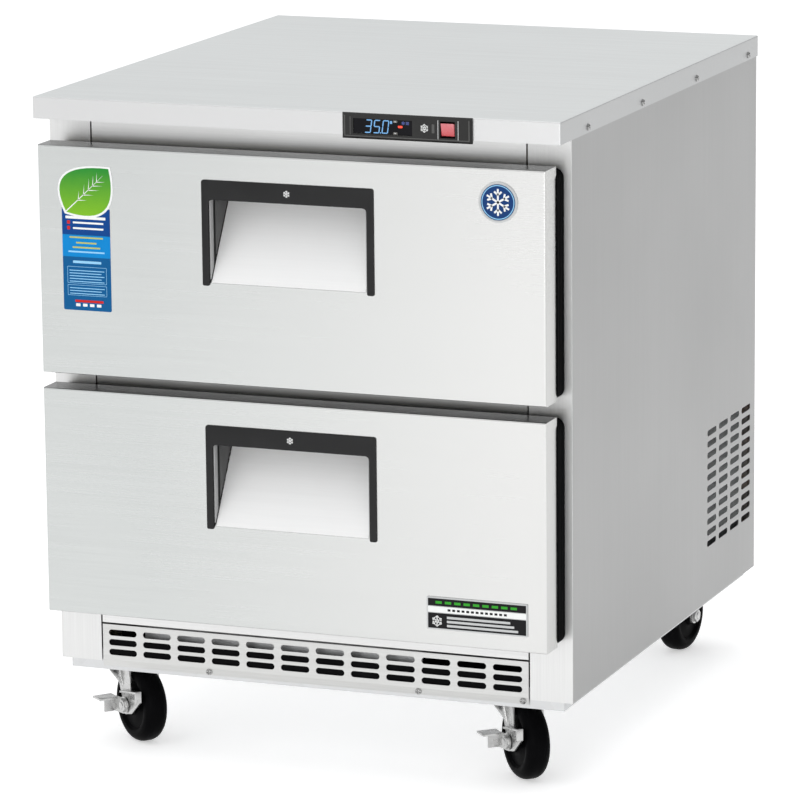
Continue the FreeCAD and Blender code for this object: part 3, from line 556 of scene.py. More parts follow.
def scatter(name, form, places, facings, material, body, replaced=()):
    rig = Rig(name, {"Form": form})
    facing = rig.node("InputNamedAttribute", {"Name": "facing"}, data_type="FLOAT_VECTOR")
    turn = rig.node("FunctionNodeAlignRotationToVector", {"Vector": facing}, axis="Z")
    copies = rig.node("InstanceOnPoints",
                      {"Points": rig.inputs["Geometry"], "Instance": rig.form("Form"), "Rotation": turn})
    rig.end(copies, material)
    piece = rig.run(pointCloud(places, facings), name, body, replaced)
    bpy.data.objects.remove(form)
    return piece


# cross-recessed screws
screw = {"radius": 4.4, "rim": 1.3, "height": 2.5, "slot": 0.55,
         "edgeAlong": (57, 268, 490, 715), "edgeHeight": 829,
         "grilleX": (-143.7, 143.7, 284.0), "grilleHeight": 107.6, "grilleFacing": (0, -0.971, -0.237)}


def screwHead():
    r, rim, h, gap = screw["radius"], screw["rim"], screw["height"], screw["slot"]
    disc = [(0, -0.4), (r * 0.96, -0.4), (r, 0.3), (r * 0.97, rim), (0, rim)]
    head = Shape().turned(disc, (0, 0, 0), (0, 0, 1), screwSteel, 24)
    for quarter in range(4):  # four raised quarters leave a crossed recess between them
        lower = [(gap, gap)] + [(max(x, gap), max(y, gap)) for x, y in arc((0, 0), r * 0.94, 4, 86, 6)]
        upper = [(gap * 1.2, gap * 1.2)] + [(max(x, gap * 1.2), max(y, gap * 1.2))
                                            for x, y in arc((0, 0), r * 0.62, 8, 82, 6)]
        swing = Matrix.Rotation(math.radians(90 * quarter), 3, "Z")
        points = [swing @ Vector((x, y, rim - 0.1)) for x, y in lower]
        points += [swing @ Vector((x, y, h)) for x, y in upper]
        n = len(lower)
        faces = [tuple(range(n)), tuple(range(n, 2 * n))]
        faces += [(i, (i + 1) % n, n + (i + 1) % n, n + i) for i in range(n)]
        head.add(points, faces, screwSteel, 0.12, 1)
    return linked("form", head.mesh("form"))


top = corners("worktop")
back = corners("machine_cover")
frontY = corners("frame_stile_left")[0][1]
places, facings = [], []
for side, x in ((-1, top[0][0]), (1, top[1][0])):
    for along in screw["edgeAlong"]:
        places.append((x, frontY + along, screw["edgeHeight"]))
        facings.append((side, 0, 0))
for acrossX, heights in (((-330, -110, 110, 330), (120, 393)), ((-330, 0, 330), (812,)),
                         ((-330, 0, 330), (412,))):
    for x in acrossX:
        for z in heights:
            places.append((x, back[1][1], z))
            facings.append((0, 1, 0))
scatter("panel_screws", screwHead(), places, facings, screwSteel, "cabinet", ("fasteners",))
places = [(x, frontY + 1.0, screw["grilleHeight"]) for x in screw["grilleX"]]
scatter("grille_screws", screwHead(), places, [screw["grilleFacing"]] * 3, screwSteel, "cabinet")


# drawer handles
handle = {"half": 115.0, "bar": 25.0, "leg": 9.5, "below": 33.0, "height": 134.0, "proud": 2.0,
          "corner": 3.4, "inside": 5.0, "foot": 2.2, "scoop": 66.0, "rise": 109.0}


def snowflake(shape, centre, reach, width, y0, y1, material):  # six branched arms in the (x, z) plane
    def bar(start, end):
        a, b = Vector(start), Vector(end)
        side = (b - a).orthogonal().normalized() * width / 2
        outline = [tuple(a + side), tuple(a - side), tuple(b - side), tuple(b + side)]
        shape.prism(outline, "y", y0, y1, material)
    for arm in range(6):
        t = math.radians(30 + 60 * arm)
        out = Vector((math.cos(t), math.sin(t)))
        bar(centre, Vector(centre) + out * reach)
        for way in (-1, 1):
            branch = Matrix.Rotation(math.radians(50 * way), 2) @ out
            knot = Vector(centre) + out * reach * 0.55
            bar(knot, knot + branch * reach * 0.38)


def makeHandle(level):
    low, high = corners(level + "_front")
    face, topZ = low[1], high[2] - handle["below"]
    half, leg = handle["half"], handle["leg"]
    foot, barZ, mouth = topZ - handle["height"], topZ - handle["bar"], half - leg
    outline = rounded([(-half, foot), (-half, topZ), (half, topZ), (half, foot), (mouth, foot), (mouth, barZ),
                       (-mouth, barZ), (-mouth, foot)],
                      [handle["foot"], handle["corner"], handle["corner"], handle["foot"], handle["foot"],
                       handle["inside"], handle["inside"], handle["foot"]])
    shape = Shape()
    shape.prism(outline, "y", face - handle["proud"], face - 0.02, handlePlastic, 0.7, 3, 60)
    lip = rounded(rectangle(face - 0.5, face + 6, barZ + 0.4, topZ - 4.5), [0.5, 2.2, 0.4, 0.4])
    shape.prism(lip, "x", -mouth - 1, mouth + 1, handlePlastic)
    z0, deep = foot + 3, face + handle["scoop"] - 0.5
    slope = handle["rise"] / handle["scoop"]
    for side in (-1, 1):
        wall, skin, rib = side * (mouth + 0.8), side * (mouth - 0.2), side * (mouth - 1.7)
        edge = [(face - 0.4, z0), (face - 0.4, topZ - 5), (deep, topZ - 5), (deep, z0 + handle["rise"]),
                (face, z0 + 1)]
        shape.prism(edge, "x", min(wall, skin), max(wall, skin), handlePlastic)
        # two raised lands with a dark groove between them; the front land is grey as a painted highlight, the
        # back land darker grey as painted shade
        for y0, y1, tone in ((face + 0.6, face + 10, cheekPaintedHighlight), (face + 18, deep - 0.6, darkCheek)):
            land = [(y0, z0 + 4 + (y0 - face) * slope), (y1, z0 + 4 + (y1 - face) * slope),
                    (y1, topZ - 7), (y0, topZ - 7)]
            shape.prism(land, "x", min(skin, rib) - 0.05, max(skin, rib), tone, 0.4, 2)
    cup = Shape()  # a thin pale sheet over the recess's slope, painted light that keeps the recess bright where shade would fall
    n = Vector((-handle["rise"], handle["scoop"])).normalized()
    start = Vector((face + 0.6, z0 + 1.0))
    end = Vector((face + handle["scoop"] - 1.2, z0 + handle["rise"] - 2.0))
    sheet = [start + n * 0.1, end + n * 0.1, end + n * 0.7, start + n * 0.7]
    cup.prism([tuple(p) for p in sheet], "x", -mouth + 2.2, mouth - 2.2, recessPaintedLight, 0.2, 1)
    cup.piece(level + "_hand_recess_liner", level + "_drawer", "drawer_steel")
    outer = face - handle["proud"]
    snowflake(shape, (0, (topZ + barZ) / 2), 4.4, 1.1, outer - 0.2, outer + 0.3, inks["white"])
    shape.piece(level + "_handle_moulding", level + "_drawer", "handle", (level + "_handle",))


makeHandle("upper")
makeHandle("lower")
print("screws and handles made")


# gaskets: a bellows section carried round each drawer
gasket = {"corner": 6.4, "cornerSteps": 8, "width": 12.0, "lips": 3, "spread": 3.4, "taller": 3.0,
          "drop": 5.0}


def gasketSection(depth):  # (across, depth) outline, with folds on both sides
    wide, folds = gasket["width"] / 2, gasket["lips"]
    right = [(wide, 0.2)]
    step = (depth - 7.0) / folds
    for i in range(folds):
        d = 1.0 + i * step
        right += [(wide, d), (wide, d + step * 0.55), (wide - 2.6, d + step * 0.75)]
    right += [(wide - 0.4, depth - 5.2), (wide, depth - 4.4), (wide, depth - 1.0), (wide - 1.0, depth - 0.2)]
    return [(-across, deep) for across, deep in right] + right[::-1]


def makeGasket(level):
    low, high = corners(level + "_gasket")
    depth = high[1] - low[1]
    across, upward = high[0] - low[0], high[2] - low[2]
    section = bpy.data.meshes.new("section")
    outline = gasketSection(depth)
    count = len(outline)
    section.from_pydata([(u * mm, v * mm, 0) for u, v in outline],
                        [(i, (i + 1) % count) for i in range(count)], [])
    form = linked("section", section)
    margin = gasket["width"] / 2
    middle = ((low[0] + high[0]) / 2 * mm, low[1] * mm, (low[2] + high[2] - gasket["drop"]) / 2 * mm)
    width = across - 2 * margin + 2 * gasket["spread"]
    height = upward - 2 * margin + gasket["taller"] - gasket["drop"]
    rig = Rig(level + "_gasket_rig", {"Section": form, "Width": width * mm, "Height": height * mm,
                                      "Corner": gasket["corner"] * mm, "Middle": middle})
    loop = rig.node("CurvePrimitiveQuadrilateral", {"Width": rig.inputs["Width"],
                                                    "Height": rig.inputs["Height"]})
    loop = rig.node("FilletCurve", {"Curve": loop, "Radius": rig.inputs["Corner"],
                                    "Count": gasket["cornerSteps"]}, mode="POLY")
    section = rig.node("MeshToCurve", {"Mesh": rig.form("Section")})
    swept = rig.node("CurveToMesh", {"Curve": loop, "Profile Curve": section})
    upright = rig.node("Transform", {"Geometry": swept, "Rotation": (math.radians(90), 0, 0),
                                     "Translation": rig.inputs["Middle"]})
    rig.end(upright, gasketRubber)
    piece = rig.run(pointCloud([(0, 0, 0)]), level + "_bellows_gasket", level + "_drawer",
                    (level + "_gasket",))
    bm = bmesh.new()
    bm.from_mesh(piece.data)
    bmesh.ops.remove_doubles(bm, verts=bm.verts, dist=1e-6)
    bmesh.ops.recalc_face_normals(bm, faces=bm.faces)
    bm.to_mesh(piece.data)
    bm.free()
    piece.data.set_sharp_from_angle(angle=math.radians(32))
    bpy.data.objects.remove(form)


makeGasket("upper")
makeGasket("lower")
print("gaskets made")


# control panel
panel = {"digitLeft": 98.0, "digitWidth": 8.6, "pitch": 11.3, "foot": 825.7, "height": 16.8, "stroke": 1.4,
         "lean": 0.14, "lamp": (142.4, 148.6, 833.6, 836.4)}
segmentsOf = {"3": "abgcd", "5": "afgcd", "0": "abcdef"}


def makeDisplay():
    face = corners("controller_module")[0][1]
    shape = Shape()
    w, h, s, lean = panel["digitWidth"], panel["height"], panel["stroke"], panel["lean"]

    def stroke(x0, z0, x1, z1, left):  # a bar with pointed ends, leaning with the digit
        a, b = Vector((x0, z0)), Vector((x1, z1))
        along = (b - a).normalized()
        side = along.orthogonal() * s / 2
        loop = [a, a + along * s / 2 + side, b - along * s / 2 + side, b, b - along * s / 2 - side,
                a + along * s / 2 - side]
        points = [(left + p.x + p.y * lean, panel["foot"] + p.y) for p in loop]
        shape.prism(points, "y", face - 0.12, face + 0.1, digitBlue)

    r, m = s / 2, h / 2
    ends = {"a": (r, h - r, w - r, h - r), "b": (w - r, m, w - r, h - r), "c": (w - r, r, w - r, m),
            "d": (r, r, w - r, r), "e": (r, r, r, m), "f": (r, m, r, h - r), "g": (r, m, w - r, m)}
    for i, digit in enumerate("350"):
        for key in segmentsOf[digit]:
            stroke(*ends[key], panel["digitLeft"] + i * panel["pitch"])
    dot = panel["digitLeft"] + 2 * panel["pitch"] - 1.9
    shape.prism(rectangle(dot, dot + 1.5, panel["foot"], panel["foot"] + 1.5, 0.5), "y", face - 0.12,
                face + 0.1, digitBlue)
    ring = panel["digitLeft"] + 3 * panel["pitch"] + 0.4
    shape.prism(rectangle(ring, ring + 2.6, 838.2, 841.8, 0.7), "y", face - 0.12, face + 0.1, digitBlue)
    shape.prism(rectangle(*panel["lamp"], 1.2), "y", face - 0.2, face + 0.1, lampRed, 0.1, 1)
    snowflake(shape, (149.4, 839.8), 2.2, 0.6, face - 0.1, face + 0.1, iconBlue)
    for z in (838.4, 839.8, 841.2):
        shape.prism(rectangle(152.8, 157.0, z - 0.35, z + 0.35), "y", face - 0.1, face + 0.1, iconBlue)
    shape.piece("display_marks", "cabinet", "display")


def makeBezelTrim():
    low, high = corners("control_bezel")
    face, x0, x1, z0, z1 = low[1], low[0], high[0], low[2], high[2]
    shape = Shape()

    def frameBar(a0, a1, b0, b1, material, proud=0.25):
        shape.prism(rectangle(a0, a1, b0, b1, 0.25, 2), "y", face - proud, face + 0.2, material, 0.08, 1)

    frameBar(x0 + 3.0, x1 - 3.0, z0 + 3.0, z0 + 4.2, bezelTrim)
    frameBar(x0 + 3.0, x0 + 4.4, z0 + 4.2, z1 - 3.0, bezelTrim)
    frameBar(x1 - 4.4, x1 - 3.0, z0 + 4.2, z1 - 3.0, bezelTrim)
    frameBar(x0 + 10.5, x0 + 11.5, z0 + 5.2, z1 - 4.6, bezelTrim, 0.2)
    for x in (194.9, 221.2):
        frameBar(x, x + 0.9, z0 + 4.4, z1 - 4.2, inks["silver"], 0.35)
    frameBar(187.2, 190.8, 829.5, 840.5, bezelTrim, 0.3)
    snowflake(shape, (177.5, 835), 5.2, 1.3, face - 0.15, face + 0.2, inks["white"])
    shape.piece("bezel_trim", "cabinet", "bezel")


def makeKeyMark(name, way):
    low, high = corners(name)
    x, z = (low[0] + high[0]) / 2, (low[2] + high[2]) / 2
    arrow = [(x - 1.7, z - 0.9 * way), (x + 1.7, z - 0.9 * way), (x, z + 1.1 * way)]
    cap = Shape().block((low[0], low[1], low[2]), (high[0], high[1], high[2]), keyPlastic, 0.35, 3)
    cap.prism(arrow, "y", low[1] - 0.1, low[1] + 0.2, inks["silver"])
    cap.piece(name + "_cap", name, "key", (name,))


makeDisplay()
makeBezelTrim()
makeKeyMark("key_up", 1)
makeKeyMark("key_down", -1)
softened("rocker", "rocker_switch", "switch", rockerRed, 0.7)
print("control panel made")


# printed and applied marks on the drawers
leafLabel = {"x0": -307.0, "x1": -241.0, "z0": 583.0, "z1": 714.0}
plate = {"x0": 180.5, "x1": 314.0, "z0": 208.0, "z1": 250.0}
badge = {"x": 278.0, "z": 751.0, "arm": 16.5}


def makeLeafLabel():
    face = corners("upper_front")[0][1]
    shape = Shape()

    def film(outline, material, level):  # each level lies a little farther out
        shape.prism(outline, "y", face - 0.12 * level - 0.1, face + 0.05, material)

    x0, x1, z0, z1 = (leafLabel[key] for key in ("x0", "x1", "z0", "z1"))
    film(rectangle(x0, x1, z0, z1, 2), inks["midBlue"], 1)
    film(rectangle(x0, x1, 680.0, z1), inks["blue"], 2)
    film(rectangle(x0, x1, 651.5, 679.4), inks["azure"], 2)
    film(rectangle(x0 + 5, x1 - 6, 700.0, 703.4, 0.5), inks["white"], 3)
    for z in (686.0, 693.2):
        film(rectangle(x0 + 7, x0 + 11, z, z + 4.4, 0.6), inks["red"], 3)
        film(rectangle(x0 + 15, x1 - 9, z + 0.9, z + 3.2, 0.4), inks["white"], 3)
    for z, inset, tone in ((675.4, 10, "yellow"), (668.6, 19, "yellow"), (662.6, 14, "yellow"),
                           (657.0, 8, "paleBlue")):
        film(rectangle(x0 + inset, x1 - inset, z, z + 2.0, 0.4), inks[tone], 3)
    film(rectangle(x0 + 14, x1 - 13, 643.4, 646.6, 0.8), inks["paleBlue"], 3)
    for low, high in ((617.5, 639.0), (602.0, 615.5)):
        film(rectangle(x0 + 6, x1 - 6, low, high, 1), inks["paleBlue"], 2)
        film(rectangle(x0 + 6.5, x1 - 6.5, low + 0.5, high - 0.5, 1), inks["midBlue"], 3)
        for i in range(int((high - low) / 3.6)):
            z = low + 2.0 + 3.5 * i
            film(rectangle(x0 + 9, x1 - 9 - 4 * (i % 2), z, z + 1.0), inks["paleBlue"], 4)
    film(rectangle(x0 + 16, x1 - 11, 593.4, 596.4, 0.5), inks["red"], 3)
    for i in range(4):
        film(rectangle(x0 + 17 + 9.6 * i, x0 + 23 + 9.6 * i, 588.2, 591.8, 0.5), inks["white"], 3)

    def leaf(grow):  # one broad leaf, its tip up at the right and its stalk down at the left
        tip, stalk = Vector((-242 + grow, 765 + grow)), Vector((-300 - grow, 709 - grow))
        outline = []
        for start, end, pull in ((stalk, tip, Vector((-333 - 1.6 * grow, 770 + 1.6 * grow))),
                                 (tip, stalk, Vector((-226 + 1.8 * grow, 690 - 1.8 * grow)))):
            for k in range(16):
                t = k / 16
                outline.append(tuple(start * (1 - t) ** 2 + pull * 2 * t * (1 - t) + end * t ** 2))
        return outline, tip, stalk

    film(leaf(2.8)[0], inks["white"], 4)
    outline, tip, stalk = leaf(0.6)
    film(outline, inks["leaf"], 5)
    vein = []
    for k in range(9):
        t = k / 8
        vein.append(stalk * (1 - t) ** 2 + Vector((-264, 742)) * 2 * t * (1 - t)
                    + (tip - Vector((8, 9))) * t ** 2)
    edge = [tuple(p + Vector((-0.5, 0.7)) * 1.6 * (1 - i / 9)) for i, p in enumerate(vein)]
    film([tuple(p) for p in vein] + edge[::-1], inks["white"], 6)
    for i in (2, 3, 4, 5, 6):
        for way in (-1, 1):
            start = vein[i]
            along = (vein[i + 1] - vein[i]).normalized()
            out = Matrix.Rotation(math.radians(42 * way), 2) @ along
            side = out.orthogonal().normalized() * 0.55
            end = start + out * (15 - 1.6 * abs(i - 4))
            film([tuple(start + side), tuple(start - side), tuple(end)], inks["white"], 6)
    shape.piece("leaf_label", "upper_drawer", "drawer_steel")


def makeNameplate():
    face = corners("lower_front")[0][1]
    x0, x1, z0, z1 = (plate[key] for key in ("x0", "x1", "z0", "z1"))
    shape = Shape()
    shape.prism(rectangle(x0, x1, z0, z1, 1.6), "y", face - 1.5, face + 0.05, inks["silver"], 0.4, 2, 40)

    def field(a0, a1, b0, b1, material, level=0):
        shape.prism(rectangle(a0, a1, b0, b1, 0.4, 2), "y", face - 1.62 - 0.12 * level, face - 1.3, material)

    field(x0 + 2, x1 - 2, z1 - 11.5, z1 - 2, inks["black"])
    field(x0 + 2, x1 - 2, z1 - 19.5, z1 - 12.5, inks["white"])
    field(x0 + 2, x1 - 2, z0 + 2, z1 - 20.5, inks["black"])
    for i in range(9):
        left = x0 + 12 + i * 12.4
        field(left, left + 8.4, z1 - 8.4, z1 - 5.2, inks["green"], 1)
    for i in range(13):
        left = x0 + 28 + i * 6.2
        field(left, left + 3.8, z1 - 17.4, z1 - 14.6, inks["black"], 1)
    snowflake(shape, (x0 + 14, z0 + 11.2), 7.0, 1.5, face - 1.85, face - 1.3, inks["white"])
    for low, high in ((4.4, 7.4), (9.6, 12.6), (14.8, 17.8)):
        field(x0 + 27, x1 - 8 - low, z0 + low, z0 + high, inks["silver"], 1)
    shape.piece("nameplate", "lower_drawer", "drawer_steel")


def makeBadge():
    face = corners("upper_front")[0][1]
    x, z = badge["x"], badge["z"]
    shape = Shape()
    disc = [(0, 0), (25.5, 0), (25.5, 1.0), (24.6, 1.6), (23.2, 1.7), (22.8, 1.2), (0, 1.2)]
    shape.turned(disc, (x, face + 0.05, z), (0, -1, 0), inks["silver"], 64)
    field = [(0, 1.1), (22.3, 1.1), (22.3, 1.32), (0, 1.32)]
    shape.turned(field, (x, face + 0.05, z), (0, -1, 0), inks["navy"], 64)
    ring = [(20.2, 1.2), (21.2, 1.2), (21.2, 1.5), (20.2, 1.5)]
    shape.turned(ring, (x, face + 0.05, z), (0, -1, 0), inks["paleBlue"], 64)
    snowflake(shape, (x, z), badge["arm"], 2.4, face - 1.5, face - 1.1, inks["white"])
    shape.piece("snow_badge", "upper_drawer", "drawer_steel")


makeLeafLabel()
makeNameplate()
makeBadge()
print("labels made")


# casters: wheels, swivel races and axle bolts
caster = {"radius": 50.0, "width": 32.0, "trail": 18.0, "plateX": 46.0, "plateY": 34.0}
headings = {"front_left": 51.0, "front_right": 43.0, "back_left": -12.0, "back_right": -7.0}


def wheelProfile():  # half of the wheel's section: crowned tread, sidewall, dished web, hub
    r, w = caster["radius"], caster["width"] / 2
    shoulder = [(r - 12 + 12 * math.cos(math.radians(a)), 3 + (w - 3) * math.sin(math.radians(a)))
                for a in range(6, 91, 12)]
    half = [(r, 0.0), (r, 2.4)] + shoulder + [(35, w - 0.4), (33.5, w - 2.2), (31, w - 4.2), (17, w - 3.6),
                                             (14.4, w - 2.2), (13.4, w + 0.6), (12.6, w + 2), (6.3, w + 2)]
    return half, [(x, -y) for x, y in half[::-1]][:-1]


def makeWheel(name):
    far, near = wheelProfile()
    shape = Shape().turned(far + near, (0, -caster["trail"], caster["radius"]), (1, 0, 0), wheelRubber, 72)
    w = caster["width"] / 2
    for side in (-1, 1):  # bearing caps
        shape.turned([(6.4, w + 0.5), (10.4, w + 0.5), (10.4, w + 2.1), (6.4, w + 2.1)],
                     (0, -caster["trail"], caster["radius"]), (side, 0, 0), zinc, 32)
    spot = swivelSpot(name)
    shape.place(headings[name], spot)
    shape.piece("wheel_" + name + "_tyre", "wheel_" + name, "wheel", ("caster_wheel_" + name,))


def swivelSpot(name):  # the swivel axis lies under the middle of the caster's plate
    plates = corners("caster_plates")
    x = plates[0][0] + caster["plateX"] if name.endswith("left") else plates[1][0] - caster["plateX"]
    y = plates[0][1] + caster["plateY"] if name.startswith("front") else plates[1][1] - caster["plateY"]
    return (x, y, 0)


def makeRace(name):  # the cup of the swivel's race, and the four nuts that hold the plate
    spot = Vector(swivelSpot(name))
    shape = Shape()
    race = [(22.4, 113.2), (26.6, 113.2), (27.6, 115.2), (27.6, 117.0), (22.4, 117.0)]
    shape.turned(race, (0, 0, 0), (0, 0, 1), zinc, 48)
    for x, y in ((-37, -25), (37, -25), (-37, 25), (37, 25)):
        shape.prism(arc((x, y), 6.5, 0, 300, 5), "z", 117.6, 121.9, zinc, 0.5, 2)
    shape.place(0, spot)
    shape.piece("swivel_race_" + name, "cabinet", "zinc")


def makeBolt(name, braked):  # nut, washer and bolt head on the axle
    shape = Shape()
    leg = caster["width"] / 2 + 5.2
    outer = leg + (3.4 if braked else 0.2)
    y, z = -caster["trail"], caster["radius"]
    for side, start, deep in ((-1, outer, 5.4), (1, leg, 6.0)):
        hexagon = arc((y, z), 9.2, 15, 315, 5)
        x0, x1 = sorted((side * (start + 0.3), side * (start + deep)))
        shape.prism(hexagon, "x", x0, x1, zinc, 0.7, 2)
        washer = [(5.5, 0), (10.6, 0), (11.2, 0.5), (11.2, 1.1), (5.5, 1.1)]
        shape.turned(washer, (side * (start + 0.1), y, z), (side, 0, 0), zinc, 32)
        stub = [(0, 0), (5.4, 0), (5.4, deep - 1), (4.6, deep + 1.2), (0, deep + 1.2)]
        shape.turned(stub, (side * start, y, z), (side, 0, 0), zinc, 24)
    shape.turned([(0, -outer), (5.9, -outer), (5.9, leg), (0, leg)], (0, y, z), (1, 0, 0), zinc, 24)
    shape.place(headings[name], swivelSpot(name))
    shape.piece("axle_bolt_" + name, "caster_" + name, "zinc", ("caster_axle_" + name,))


for name in headings:
    makeWheel(name)
    makeRace(name)
    makeBolt(name, name.startswith("front"))
    softened("fork_" + name, "caster_fork_" + name, "caster_" + name, zinc, 0.5)
for name in ("front_left", "front_right"):
    softened("brake_" + name + "_pedal", "brake_lever_" + name, "brake_" + name, zinc, 0.5)
print("casters made")


# machine bay: coils, fan guards and compressor fittings
coils = {"finThick": 0.35, "tube": 3.6, "bend": 9.0}


def fins(name, node, axis, pitch, inset):  # a row of thin plates where the coil's block stood
    low, high = corners(node)
    count = int((high[axis] - low[axis] - 2 * inset) / pitch) + 1
    size = [high[i] - low[i] for i in range(3)]
    size[axis] = coils["finThick"]
    start = [(low[i] + high[i]) / 2 for i in range(3)]
    start[axis] = low[axis] + inset
    offset = [0.0, 0.0, 0.0]
    offset[axis] = pitch
    size, start, offset = (tuple(v * mm for v in vector) for vector in (size, start, offset))
    rig = Rig(name, {"Count": count, "Fin Size": size, "Start": start, "Offset": offset})
    row = rig.node("MeshLine", {"Count": rig.inputs["Count"], "Start Location": rig.inputs["Start"],
                                "Offset": rig.inputs["Offset"]})
    plateForm = rig.node("MeshCube", {"Size": rig.inputs["Fin Size"]})
    copies = rig.node("InstanceOnPoints", {"Points": row, "Instance": plateForm})
    rig.end(copies, finStock)
    rig.run(pointCloud([(0, 0, 0)]), name, "cabinet", (node,))


def serpentine(low, high, axis, across, rows, columns, name):  # hairpin tubes through the fins
    shape = Shape()
    over = coils["bend"]
    for c in range(columns):
        a = low[across] + (high[across] - low[across]) * (c + 0.5) / columns
        step = (high[2] - low[2]) / rows
        path = []
        for r in range(rows):
            z = low[2] + step * (r + 0.5)
            ends = (low[axis] - 1, high[axis] + 1)
            ends = ends if r % 2 == 0 else ends[::-1]
            path += [(ends[0], z), (ends[1], z)]
            if r < rows - 1:
                way = 1 if ends[1] > ends[0] else -1
                for k in range(1, 8):
                    t = math.pi * k / 8
                    path.append((ends[1] + way * over * math.sin(t), z + step / 2 * (1 - math.cos(t))))
        line = []
        for along, z in path:
            point = [0, 0, z]
            point[axis], point[across] = along, a
            line.append(tuple(point))
        shape.tube(line, coils["tube"], copper, 10)
    shape.piece(name, "cabinet", "copper")


low, high = corners("condenser_coil")
fins("condenser_fins", "condenser_coil", 1, 3.0, 4)
serpentine((low[0], low[1] + 3, low[2]), (high[0], high[1] - 3, high[2]), 1, 0, 8, 2, "condenser_tubes")
low, high = corners("evaporator_coil")
fins("evaporator_fins", "evaporator_coil", 0, 5.5, 10)
serpentine((low[0] + 10, low[1], low[2]), (high[0] - 10, high[1], high[2]), 0, 1, 8, 1, "evaporator_tubes")


def guard(name, centre, axis, radii, wire, spokes, hub, material, slot):  # rings of wire held by spokes
    rig = Rig(name, {"Rings": len(radii), "Inner": radii[0] * mm, "Step": (radii[1] - radii[0]) * mm,
                     "Wire": wire * mm, "Centre": tuple(v * mm for v in centre)})
    index = rig.node("InputIndex")
    line = rig.node("MeshLine", {"Count": rig.inputs["Rings"], "Offset": (0, 0, 0)})
    size = index * rig.inputs["Step"] + rig.inputs["Inner"]
    circle = rig.node("CurvePrimitiveCircle", {"Resolution": 48, "Radius": 1.0})
    rings = rig.node("InstanceOnPoints", {"Points": line, "Instance": circle, "Scale": size})
    rings = rig.node("RealizeInstances", {"Geometry": rings})
    section = rig.node("CurvePrimitiveCircle", {"Resolution": 8, "Radius": rig.inputs["Wire"]})
    flat = rig.node("SetCurveRadius", {"Curve": rings, "Radius": 1.0})
    wires = rig.node("CurveToMesh", {"Curve": flat, "Profile Curve": section})
    turn = {"x": (0, math.radians(90), 0), "y": (math.radians(90), 0, 0)}[axis]
    placed = rig.node("Transform", {"Geometry": wires, "Rotation": turn, "Translation": rig.inputs["Centre"]})
    rig.end(placed, material)
    rig.run(pointCloud([(0, 0, 0)]), name, "cabinet")
    shape = Shape()
    for i in range(spokes):
        t = 2 * math.pi * i / spokes + math.pi / 4
        ends = []
        for r in (hub, radii[-1] + 1):
            u, v = r * math.cos(t), r * math.sin(t)
            ends.append((centre[0] - 1.6, centre[1] + u, centre[2] + v) if axis == "x"
                        else (centre[0] + u, centre[1] - 1.6, centre[2] + v))
        shape.tube(ends, wire * 1.1, material, 8)
    shape.piece(name + "_spokes", "cabinet", slot)


low, high = corners("condenser_fan")
middle = [(a + b) / 2 for a, b in zip(low, high)]
guard("condenser_guard", (low[0] - 3.5, middle[1], middle[2]), "x", [40 + 8 * i for i in range(7)],
      1.1, 4, 34, slideZinc, "galvanised")
low, high = corners("evaporator_fan")
middle = [(a + b) / 2 for a, b in zip(low, high)]
coverY = corners("evaporator_housing")[0][1]
guard("evaporator_guard", (middle[0], coverY - 1.4, middle[2]), "y", [12 + 10 * i for i in range(7)],
      1.2, 4, 8, inks["white"], "housing")


def makeCompressorFittings():
    low, high = corners("compressor")
    x, y = (low[0] + high[0]) / 2, (low[1] + high[1]) / 2
    base = low[2]
    shape = Shape()
    seam = [(73.5, base + 78), (77, base + 78.5), (77.4, base + 82), (77, base + 85), (73.5, base + 85.5)]
    shape.turned(seam, (x, y, 0), (0, 0, 1), blackEnamel, 64)
    shape.block((x + 68, y - 26, base + 42), (x + 96, y + 26, base + 96), fanPlastic, 3, 3)
    shape.turned([(0, 0), (7, 0), (7, 7), (5, 9), (0, 9)], (x + 82, y, base + 95), (0, 0, 1), fanPlastic, 24)
    foot = [(0, 0), (9.5, 0), (9.5, 4), (6, 7), (6, 14), (0, 14)]
    for dx in (-70, 70):
        for dy in (-56, 56):
            shape.turned(foot, (x + dx, y + dy, base + 15), (0, 0, 1), gasketRubber, 24)
    shape.tube([(x + 30, y - 66, base + 60), (x + 30, y - 82, base + 60), (x + 30, y - 88, base + 70),
                (x + 30, y - 88, base + 110)], 3.2, copper, 12)
    shape.piece("compressor_fittings", "cabinet", "black_paint")


makeCompressorFittings()


# back: louvre hoods and the cord gland
louvre = {"columns": (-240, -80, 80), "rows": 12, "first": 170.0, "pitch": 17.0, "length": 120.0}


def louvreHood():  # a pressed hood over the upper half of each slot, facing +Z before it is placed
    shape = Shape()
    half = louvre["length"] / 2
    rows = [(-0.2, 5.6), (1.8, 5.0), (3.2, 3.2), (3.8, 0.6), (3.3, 0.4), (2.6, 2.8), (1.4, 4.2), (-0.2, 4.7)]
    points, faces, steps = [], [], len(rows)
    stations = [(-half - 2, 0.05), (-half + 1.5, 0.75), (-half + 5, 1.0),
                (half - 5, 1.0), (half - 1.5, 0.75), (half + 2, 0.05)]
    for x, grow in stations:
        points += [(x, up if out < 0 else up * (0.6 + 0.4 * grow), out * grow if out > 0 else out)
                   for out, up in rows]
    for s in range(len(stations) - 1):
        for i in range(steps):
            j = (i + 1) % steps
            faces.append((s * steps + i, s * steps + j, (s + 1) * steps + j, (s + 1) * steps + i))
    faces += [tuple(range(steps)), tuple(range((len(stations) - 1) * steps, len(stations) * steps))]
    return linked("form", shape.add(points, faces, galvanised).mesh("form"))


